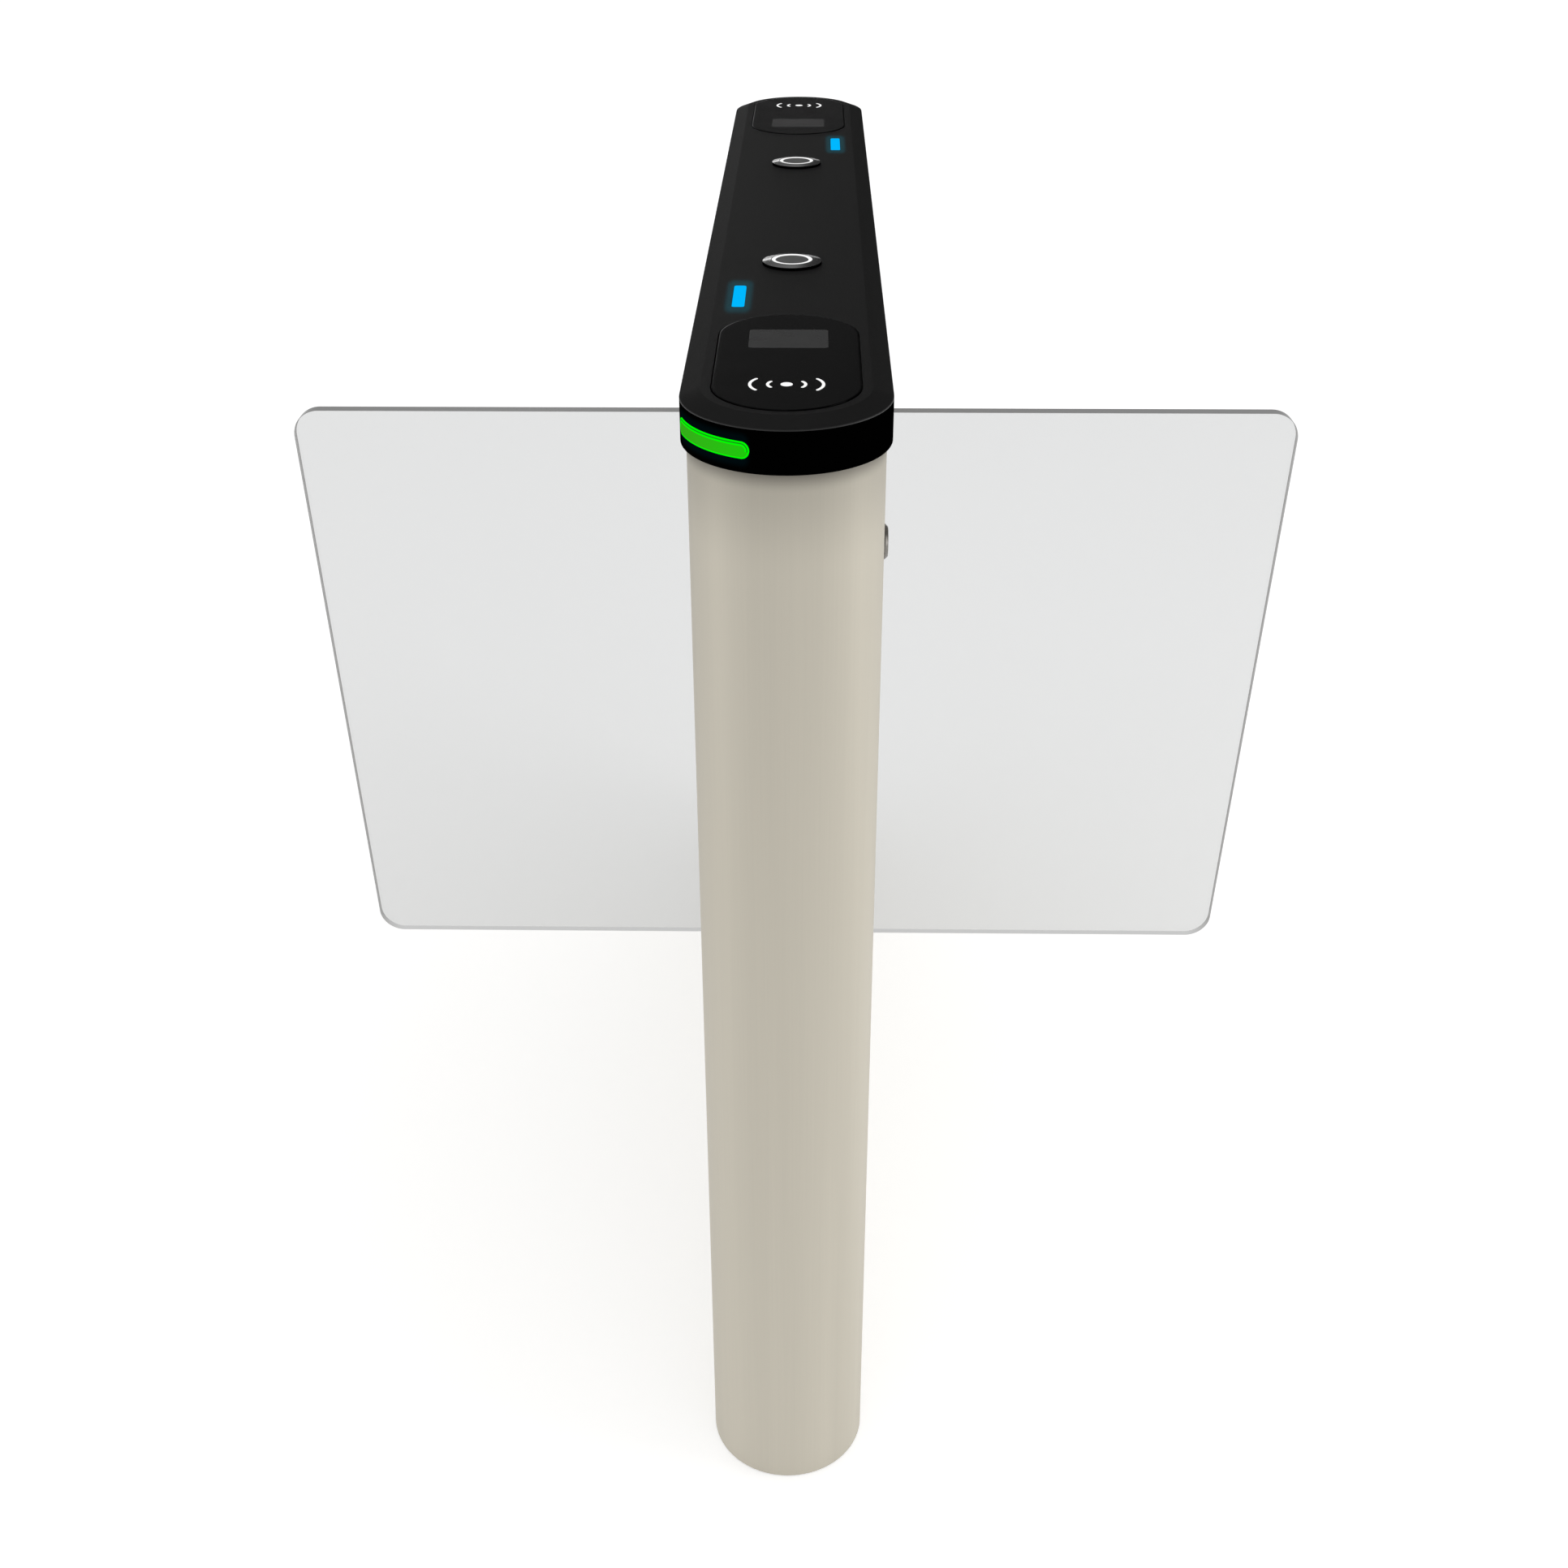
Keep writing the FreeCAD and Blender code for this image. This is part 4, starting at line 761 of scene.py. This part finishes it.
class GATE_OT_cap(Operator):
    """Builds the cap: wall, bevel and flat top, with the reader recesses, lens pockets and button holes"""

    bl_idname = "gate.cap"
    bl_label = "Cap"

    def execute(self, context):
        shape = context.scene.gate_shape
        whole = grown_polygon(((0, -CAP_END), (0, CAP_END)), 96)
        roof = CAP_TOP - shape.cap_roof
        inner = CAP_RADIUS - shape.cap_wall
        brow = CAP_TOP - shape.bevel_height
        split = brow - shape.cap_edge
        flat_edge = CAP_RADIUS - shape.bevel_width
        fine = 0.3 * MM
        wall = rounded(((inner, roof), (inner, CAP_LOW[2]), (CAP_RADIUS, CAP_LOW[2]), (CAP_RADIUS, split)),
                       (0, fine, 2 * fine, 0))
        bevel = rounded(((CAP_RADIUS, split), (CAP_RADIUS, brow), (flat_edge, CAP_TOP),
                         (flat_edge - 2 * MM, CAP_TOP)), (0, shape.cap_edge, 3 * shape.cap_edge, 0), 8)
        wall_grid = carry(whole, wall)
        bevel_grid = carry(whole, bevel)
        # Painted shade: the cap's wall takes the darker side finish, the bevel and top the moulding's own
        surfaces = [skin(wall_grid, 1), skin(bevel_grid)]

        recess = PLATE_RADIUS + shape.plate_joint
        seat = PLATE_LOW[2]
        recess_line = rounded(((recess + 2 * fine, CAP_TOP), (recess, CAP_TOP), (recess, seat),
                               (shape.plate_window, seat), (shape.plate_window, roof)), (0, fine, 0, 0, 0))
        pocket = shape.lens_corner + shape.inlay_joint
        pocket_line = rounded(((pocket + 2 * fine, CAP_TOP), (pocket, CAP_TOP), (pocket, LENS_LOW[2])),
                              (0, fine, 0))
        hole = RING_HIGH[0] - 0.4 * MM
        hole_line = np.array(((hole, CAP_TOP), (hole, roof)))
        top_holes, roof_holes, openings = [], [], []
        for path, line, through in ((plate_path(), recess_line, True), (lens_path(shape), pocket_line, False),
                                    (button_path(), hole_line, True)):
            grid = carry(path, line)
            openings.append(skin(grid))
            top_holes.append(grid[0])
            if through:
                roof_holes.append(grid[-1])
            else:
                openings.append(level([grid[-1]]))
        surfaces += openings + half_turn(openings)
        for around, holes, up in ((bevel_grid[-1], top_holes, True), (wall_grid[0], roof_holes, False)):
            twins = [loop * (-1, -1, 1) for loop in holes]
            surfaces.append(level([around] + holes + twins, up))
        make_piece("cap_moulding", surfaces, [finish("cap_black"), finish("cap_side_shade_and_glow")], "pedestal",
                   ["cap_shell"], crease=40)
        return {"FINISHED"}


class GATE_OT_readers(Operator):
    """Builds the reader plates with their display windows"""

    bl_idname = "gate.readers"
    bl_label = "Readers"

    def execute(self, context):
        shape = context.scene.gate_shape
        edge = shape.plate_edge
        top = PLATE_HIGH[2]
        line = rounded(((PLATE_RADIUS - 2 * edge, PLATE_LOW[2]), (PLATE_RADIUS, PLATE_LOW[2]),
                        (PLATE_RADIUS, top), (PLATE_RADIUS - 3 * edge, top)), (0, 0.3 * edge, edge, 0))
        grid = carry(plate_path(), line)
        gap = shape.display_corner + shape.inlay_joint
        well = carry(display_path(shape), ((gap, top), (gap, DISPLAY_LOW[2])))
        plate = [skin(grid), level([grid[0]], up=False), level([grid[-1], well[0]]), skin(well),
                 level([well[-1]])]
        window = slab(display_path(shape), shape.display_corner, DISPLAY_LOW[2], DISPLAY_HIGH[2], 0.15 * MM)
        for end, turned in ENDS:
            make_piece(f"plate_{end}", turned(plate), [finish("reader_black")], "pedestal",
                       [f"reader_plate_{end}"])
            make_piece(f"display_{end}", turned(window), [finish("display_grey")], "pedestal",
                       [f"display_window_{end}"])
        return {"FINISHED"}


def arc_band(middle, radius, half_angle, stroke, facing, steps=32):
    """Outline of an arc with round ends: along the outer radius, round the end, back along the inner one."""
    sweep = np.linspace(-half_angle, half_angle, steps)
    cap = np.linspace(0, math.pi, steps // 2)[1:-1]
    outer = np.column_stack((np.cos(sweep), np.sin(sweep))) * (radius + stroke / 2)
    inner = np.column_stack((np.cos(sweep), np.sin(sweep)))[::-1] * (radius - stroke / 2)

    def end(angle, start):
        turn = start + cap
        hub = radius * np.array((math.cos(angle), math.sin(angle)))
        return hub + stroke / 2 * np.column_stack((np.cos(turn), np.sin(turn)))

    outline = np.vstack((outer, end(half_angle, half_angle), inner, end(-half_angle, math.pi - half_angle)))
    return outline * (facing, facing) + middle


class GATE_OT_symbols(Operator):
    """Prints the contactless symbol, a dot between two pairs of arcs, on each reader plate"""

    bl_idname = "gate.symbols"
    bl_label = "Reader symbols"

    def execute(self, context):
        shape = context.scene.gate_shape
        middle = np.array((0, -shape.icon_y))
        low = PLATE_HIGH[2]
        ink = 0.12 * MM
        high = low + ink
        print_layer = slab(grown_polygon((middle,), 48), shape.icon_dot, low, high)
        for reach in (shape.icon_inner, shape.icon_outer):
            radius = shape.icon_bend * reach - shape.icon_stroke / 2
            for facing in (1, -1):
                hub = middle + (facing * (1 - shape.icon_bend) * reach, 0)
                outline = arc_band(hub, radius, shape.icon_angle, shape.icon_stroke, facing)
                print_layer += slab(outline_path(outline), 0, low, high)
        for end, turned in ENDS:
            make_piece(f"symbol_{end}", turned(print_layer), [finish("light_white")], "pedestal")
        return {"FINISHED"}


class GATE_OT_lane_lights(Operator):
    """Builds the blue lane lenses, slabs with round corners and edges"""

    bl_idname = "gate.lane_lights"
    bl_label = "Lane lights"

    def execute(self, context):
        shape = context.scene.gate_shape
        lens = slab(lens_path(shape), shape.lens_corner, LENS_LOW[2], LENS_HIGH[2], 0.3 * MM)
        for end, turned in ENDS:
            make_piece(f"lane_light_{end}", turned(lens), [finish("light_blue")], "pedestal",
                       [f"lane_lens_{end}"])
        return {"FINISHED"}


def wrap_on_cap(surface):
    """Lays points given as distance along the wall, height and lift on the round front end of the cap.

    The distance starts at the left side and turns about the end's centre by distance over radius.
    """
    walked, height, lift = surface.points.T
    angle = math.pi + walked / CAP_RADIUS
    reach = CAP_RADIUS + lift
    x, y = reach * np.cos(angle), reach * np.sin(angle) - CAP_END
    return surface._replace(points=np.column_stack((x, y, height)))


class GATE_OT_edge_lights(Operator):
    """Builds the green strips round two corners of the cap, with bright lines along their upper edge"""

    bl_idname = "gate.edge_lights"
    bl_label = "Edge lights"

    def execute(self, context):
        shape = context.scene.gate_shape
        near, far = ((math.pi / 2 - angle) * CAP_RADIUS for angle in (shape.strip_start, shape.strip_end))
        path = grown_polygon(((near, STRIP_Z), (far, STRIP_Z)), 24, 56)
        lift, line = shape.strip_proud, shape.strip_line
        rows = ((STRIP_RADIUS, -lift), (STRIP_RADIUS, 0.6 * lift), (STRIP_RADIUS - 0.4 * lift, lift),
                (STRIP_RADIUS - line, lift), (STRIP_RADIUS - 2 * line, lift),
                (STRIP_RADIUS - 3.2 * line, lift), (0, lift))
        rising = path[1][:, 1] > -0.3
        face, bright, dark = np.zeros(len(rising)), np.ones(len(rising)), np.full(len(rising), 2)
        marks = np.concatenate((bright, bright, bright, dark * rising, bright * rising, face))
        strip = [wrap_on_cap(skin(carry(path, rows), marks))]
        finishes = [finish("light_green"), finish("green_line"), finish("green_band")]
        for end, turned in ENDS:
            make_piece(f"edge_light_{end}", turned(strip), finishes, "pedestal",
                       [f"light_strip_{end}"])
        return {"FINISHED"}


class GATE_OT_buttons(Operator):
    """Builds the push buttons: chromed bezel whose upright rim takes the cap side's near-black finish as
    painted shade, lit ring and turned cap
    """

    bl_idname = "gate.buttons"
    bl_label = "Buttons"

    def execute(self, context):
        shape = context.scene.gate_shape
        path = button_path()
        top = BEZEL_HIGH[2]
        ring_out = RING_HIGH[0]
        groove = ring_out + 0.05 * MM
        barrel = ring_out - 0.7 * MM
        bore = BUTTON_HIGH[0] + 0.1 * MM
        seat = RING_LOW[2]
        crown = groove + shape.bezel_land
        brim = CAP_TOP + shape.bezel_rim
        whole = ring(path, ((bore, BEZEL_LOW[2]), (barrel, BEZEL_LOW[2]), (barrel, CAP_TOP),
                            (BEZEL_RADIUS, CAP_TOP), (BEZEL_RADIUS, brim), (crown, top), (groove, top),
                            (groove, seat), (bore, seat)),
                     np.array((0, 0, 0, 0.2, 0.3, 0.3, 0.15, 0, 0)) * MM)[0]
        # Painted shade: the bezel below its brim takes the cap side's near-black finish
        below = whole.points[whole.faces, 2].mean(axis=1) < brim
        bezel = [whole._replace(finish=np.where(below, 1, 0))]
        lit = ring(path, ((bore, seat), (ring_out, seat), (ring_out, RING_HIGH[2]), (bore, RING_HIGH[2])),
                   np.array((0, 0, 0.35, 0.35)) * MM)
        make_piece("bezels", bezel + half_turn(bezel), [finish("bezel_chrome"), finish("cap_side_shade_and_glow")],
                   "pedestal", ["button_bezels"])
        make_piece("lit_rings", lit + half_turn(lit), [finish("light_white")], "pedestal",
                   ["button_rings"])
        cap = slab(path, BUTTON_HIGH[0], BUTTON_LOW[2], BUTTON_HIGH[2], 0.6 * MM, 0.3 * MM)
        for end, turned in ENDS:
            make_piece(f"push_cap_{end}", turned(cap), [finish("button_steel")], f"button_{end}",
                       [f"button_cap_{end}"])
        return {"FINISHED"}


class GATE_OT_locks(Operator):
    """Builds the bevelled heads and barrels of the cover locks"""

    bl_idname = "gate.locks"
    bl_label = "Locks"

    def execute(self, context):
        shape = context.scene.gate_shape
        path = grown_polygon(((LOCK_Y, LOCK_Z),), 96)
        face = LOCK_HIGH[0]
        bore = PLUG_RADIUS + 0.05 * MM
        depth = 24 * MM
        back = BODY_RADIUS - depth
        barrel = 9.5 * MM
        head = ring(path, ((bore, back), (barrel, back), (barrel, BODY_RADIUS), (LOCK_RADIUS, BODY_RADIUS),
                           (LOCK_RADIUS, face - shape.lock_bevel), (LOCK_RADIUS - shape.lock_bevel, face),
                           (bore, face)), np.array((0, 0, 0, 0.2, 0.6, 0.5, 0.2)) * MM)
        head = sideways(head)
        make_piece("lock_heads", head + half_turn(head), [finish("lock_chrome")], "pedestal",
                   ["lock_bodies"])
        return {"FINISHED"}


class GATE_OT_wings(Operator):
    """Builds the wings: glass panes with ground edges and slotted columns on turned journals"""

    bl_idname = "gate.wings"
    bl_label = "Wings"

    def execute(self, context):
        shape = context.scene.gate_shape
        low, high = GLASS_LOW[2], GLASS_HIGH[2]
        inner, reach = GLASS_LOW[0], shape.glass_reach
        corners = ((inner, low), (reach - shape.glass_rake, low), (reach, high), (inner, high))
        small = 2 * MM
        outline = rounded(corners, (small, shape.glass_corner, shape.glass_corner, small), 24, closed=True)
        arris = shape.glass_arris
        half = GLASS_HIGH[1]
        edges = ((-arris, -half), (0, arris - half), (0, half - arris), (-arris, half))
        grid = carry(outline_path(outline), edges)
        pane = upright([level([grid[0]], up=False), skin(grid, 1), level([grid[-1]])])

        slot_half = half + shape.gasket
        mouth = math.asin(slot_half / COLUMN_RADIUS)
        turn = np.linspace(mouth, math.tau - mouth, 120)
        wall = np.column_stack((HINGE_X + COLUMN_RADIUS * np.cos(turn), COLUMN_RADIUS * np.sin(turn)))
        root = inner - shape.gasket
        section = np.vstack((wall, ((root, -slot_half), (root, slot_half))))
        slot_low, slot_high = low - shape.gasket, high + shape.gasket
        column = slab(outline_path(section), 0, slot_low, slot_high)
        spindle = grown_polygon(((HINGE_X, 0),), 96)
        bottom, top = slot_low - shape.column_end, slot_high + shape.column_end
        shoulder, tip = 0.8 * MM, 0.5 * MM
        column += slab(spindle, COLUMN_RADIUS, bottom, slot_low, 0, shoulder)
        column += slab(spindle, COLUMN_RADIUS, slot_high, top, shoulder)
        column += slab(spindle, shape.journal, COLUMN_LOW[2], bottom, 0, tip)
        column += slab(spindle, shape.journal, top, COLUMN_HIGH[2], tip)
        for side, turned in SIDES:
            clear = make_piece(f"pane_{side}", turned(pane), [finish("wing_glass"), finish("glass_edge")],
                               f"wing_{side}", [f"wing_glass_{side}"])
            # Light passes a clear pane and reaches what stands behind it
            clear.visible_shadow = False
            clear.visible_diffuse = False
            make_piece(f"column_{side}", turned(column), [finish("column_steel")], f"wing_{side}",
                       [f"wing_column_{side}"])
        return {"FINISHED"}


def aim(place, target):
    """Matrix of a lamp at a place that shines at a target."""
    way = Vector(target) - Vector(place)
    return Matrix.Translation(place) @ way.to_track_quat("-Z", "Y").to_matrix().to_4x4()


def seen(tree):
    """One for camera, mirror and glass rays, and zero for the rest."""
    rays = put(tree, "ShaderNodeLightPath").outputs
    looked = work_out(tree, "MAXIMUM", rays["Is Camera Ray"], rays["Is Transmission Ray"])
    return work_out(tree, "MAXIMUM", looked, rays["Is Glossy Ray"])


def lay_floor(scene, stage):
    """Pale floor that takes the gate's shadow, with white added where it is looked at."""
    half = stage.floor_half
    square = np.array(((-half, -half, 0), (half, -half, 0), (half, half, 0), (-half, half, 0)))
    mesh = bpy.data.meshes.new("floor")
    mesh.from_pydata(square, [], [(0, 1, 2, 3)])
    floor = bpy.data.objects.new("floor", mesh)
    scene.collection.objects.link(floor)
    paper = bpy.data.materials.new("floor_paper")
    paper.use_nodes = True
    tree = paper.node_tree
    tree.nodes.clear()
    shade = stage.floor_shade
    matt = put(tree, "ShaderNodeBsdfDiffuse", {"Color": (shade, shade, shade, 1)}).outputs[0]
    white = work_out(tree, "MULTIPLY", seen(tree), stage.floor_white)
    lift = put(tree, "ShaderNodeEmission", {"Strength": white}).outputs[0]
    both = put(tree, "ShaderNodeAddShader", {0: matt, 1: lift}).outputs[0]
    put(tree, "ShaderNodeOutputMaterial", {"Surface": both})
    mesh.materials.append(paper)


def mirrored_studio(tree, stage):
    """What mirrors show: a bright horizon under a dark ceiling, faded to both sides, and a box of light."""
    direction = put(tree, "ShaderNodeTexCoord").outputs["Generated"]
    way = put(tree, "ShaderNodeSeparateXYZ", {0: direction}).outputs
    height = ranged(tree, way["Y"], -0.3, 0.0, 0.9, 0.11)
    top = ranged(tree, way["Z"], 0.1, 0.9, stage.ceiling, stage.zenith)
    overhead = ranged(tree, way["Z"], 0.0, height, stage.horizon, top, "SMOOTHSTEP")
    rightward = ranged(tree, way["X"], 0.0, 0.12, 1.0, 0.1, "SMOOTHSTEP")
    leftward = ranged(tree, way["X"], -0.25, -0.05, 0.5, 1.0)
    aside = work_out(tree, "MULTIPLY", leftward, rightward)
    box = [work_out(tree, "COMPARE", way[axis], middle, half)
           for axis, middle, half in (("X", -0.12, 0.055), ("Z", 0.19, 0.055))]
    boxed = multiplied(tree, *box, stage.softbox)
    return work_out(tree, "MAXIMUM", work_out(tree, "MULTIPLY", overhead, aside), boxed)


def light_studio(scene, stage):
    """Even light that is white where it is looked at, the studio that mirrors show, and two soft lamps."""
    world = bpy.data.worlds.new("studio")
    scene.world = world
    world.use_nodes = True
    tree = world.node_tree
    tree.nodes.clear()
    mirror = put(tree, "ShaderNodeLightPath").outputs["Is Glossy Ray"]
    backdrop = put(tree, "ShaderNodeMix", {0: mirror, 2: 1.0, 3: mirrored_studio(tree, stage)},
                   data_type="FLOAT").outputs[0]
    strength = put(tree, "ShaderNodeMix", {0: seen(tree), 2: stage.sky, 3: backdrop},
                   data_type="FLOAT").outputs[0]
    sky = put(tree, "ShaderNodeBackground", {"Color": (1, 1, 1, 1), "Strength": strength}).outputs[0]
    put(tree, "ShaderNodeOutputWorld", {"Surface": sky})
    for name, place, target, size, power in (
        ("key", (-2.4, -0.9, 0.5), (0, 0, 0.4), 1.0, stage.key_power),
        ("fill", (2.5, -0.7, 1.0), (0, 0, 0.6), 1.4, stage.fill_power),
    ):
        light = bpy.data.lights.new(name, "AREA")
        light.size = size
        light.energy = power
        lamp = bpy.data.objects.new(name, light)
        lamp.matrix_world = aim(place, target)
        scene.collection.objects.link(lamp)


def set_camera(scene, stage):
    """Camera whose own axes are the picture's right, the picture's up and the way towards the viewer."""
    camera = bpy.data.objects.new("camera", bpy.data.cameras.new("camera"))
    camera.data.lens = stage.lens
    camera.data.sensor_width = 36
    right, above = Vector(stage.camera_right), Vector(stage.camera_up)
    turn = Matrix((right, above, right.cross(above))).transposed()
    camera.matrix_world = Matrix.Translation(stage.camera_place) @ turn.to_4x4()
    scene.collection.objects.link(camera)
    scene.camera = camera


class GATE_OT_stage(Operator):
    """Sets up the floor, the soft light and the camera"""

    bl_idname = "gate.stage"
    bl_label = "Studio"

    def execute(self, context):
        scene = context.scene
        lay_floor(scene, scene.gate_stage)
        light_studio(scene, scene.gate_stage)
        set_camera(scene, scene.gate_stage)
        scene.view_settings.view_transform = "Standard"
        return {"FINISHED"}


STEPS = (
    GATE_OT_fittings, GATE_OT_shells, GATE_OT_cap, GATE_OT_readers, GATE_OT_symbols, GATE_OT_lane_lights,
    GATE_OT_edge_lights, GATE_OT_buttons, GATE_OT_locks, GATE_OT_wings, GATE_OT_stage,
)


class GATE_PT_pieces(Panel):
    """Lists the gate's pieces and the studio in the sidebar"""

    bl_label = "Swing speed gate"
    bl_idname = "GATE_PT_pieces"
    bl_space_type = "VIEW_3D"
    bl_region_type = "UI"
    bl_category = "Gate"

    def draw(self, context):
        for step in STEPS:
            self.layout.operator(step.bl_idname)


CLASSES = (GateShape, GateFinish, GateStage, *STEPS, GATE_PT_pieces)


def register():
    """Adds the properties, operators and panel."""
    for kind in CLASSES:
        bpy.utils.register_class(kind)
    bpy.types.Scene.gate_shape = PointerProperty(type=GateShape)
    bpy.types.Scene.gate_finish = PointerProperty(type=GateFinish)
    bpy.types.Scene.gate_stage = PointerProperty(type=GateStage)


def unregister():
    """Takes them away again."""
    del bpy.types.Scene.gate_stage
    del bpy.types.Scene.gate_finish
    del bpy.types.Scene.gate_shape
    for kind in reversed(CLASSES):
        bpy.utils.unregister_class(kind)


def main():
    """Registers the classes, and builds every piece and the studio."""
    register()
    bpy.ops.gate.fittings()
    bpy.ops.gate.shells()
    bpy.ops.gate.cap()
    bpy.ops.gate.readers()
    bpy.ops.gate.symbols()
    bpy.ops.gate.lane_lights()
    bpy.ops.gate.edge_lights()
    bpy.ops.gate.buttons()
    bpy.ops.gate.locks()
    bpy.ops.gate.wings()
    bpy.ops.gate.stage()


if __name__ == "__main__":
    main()
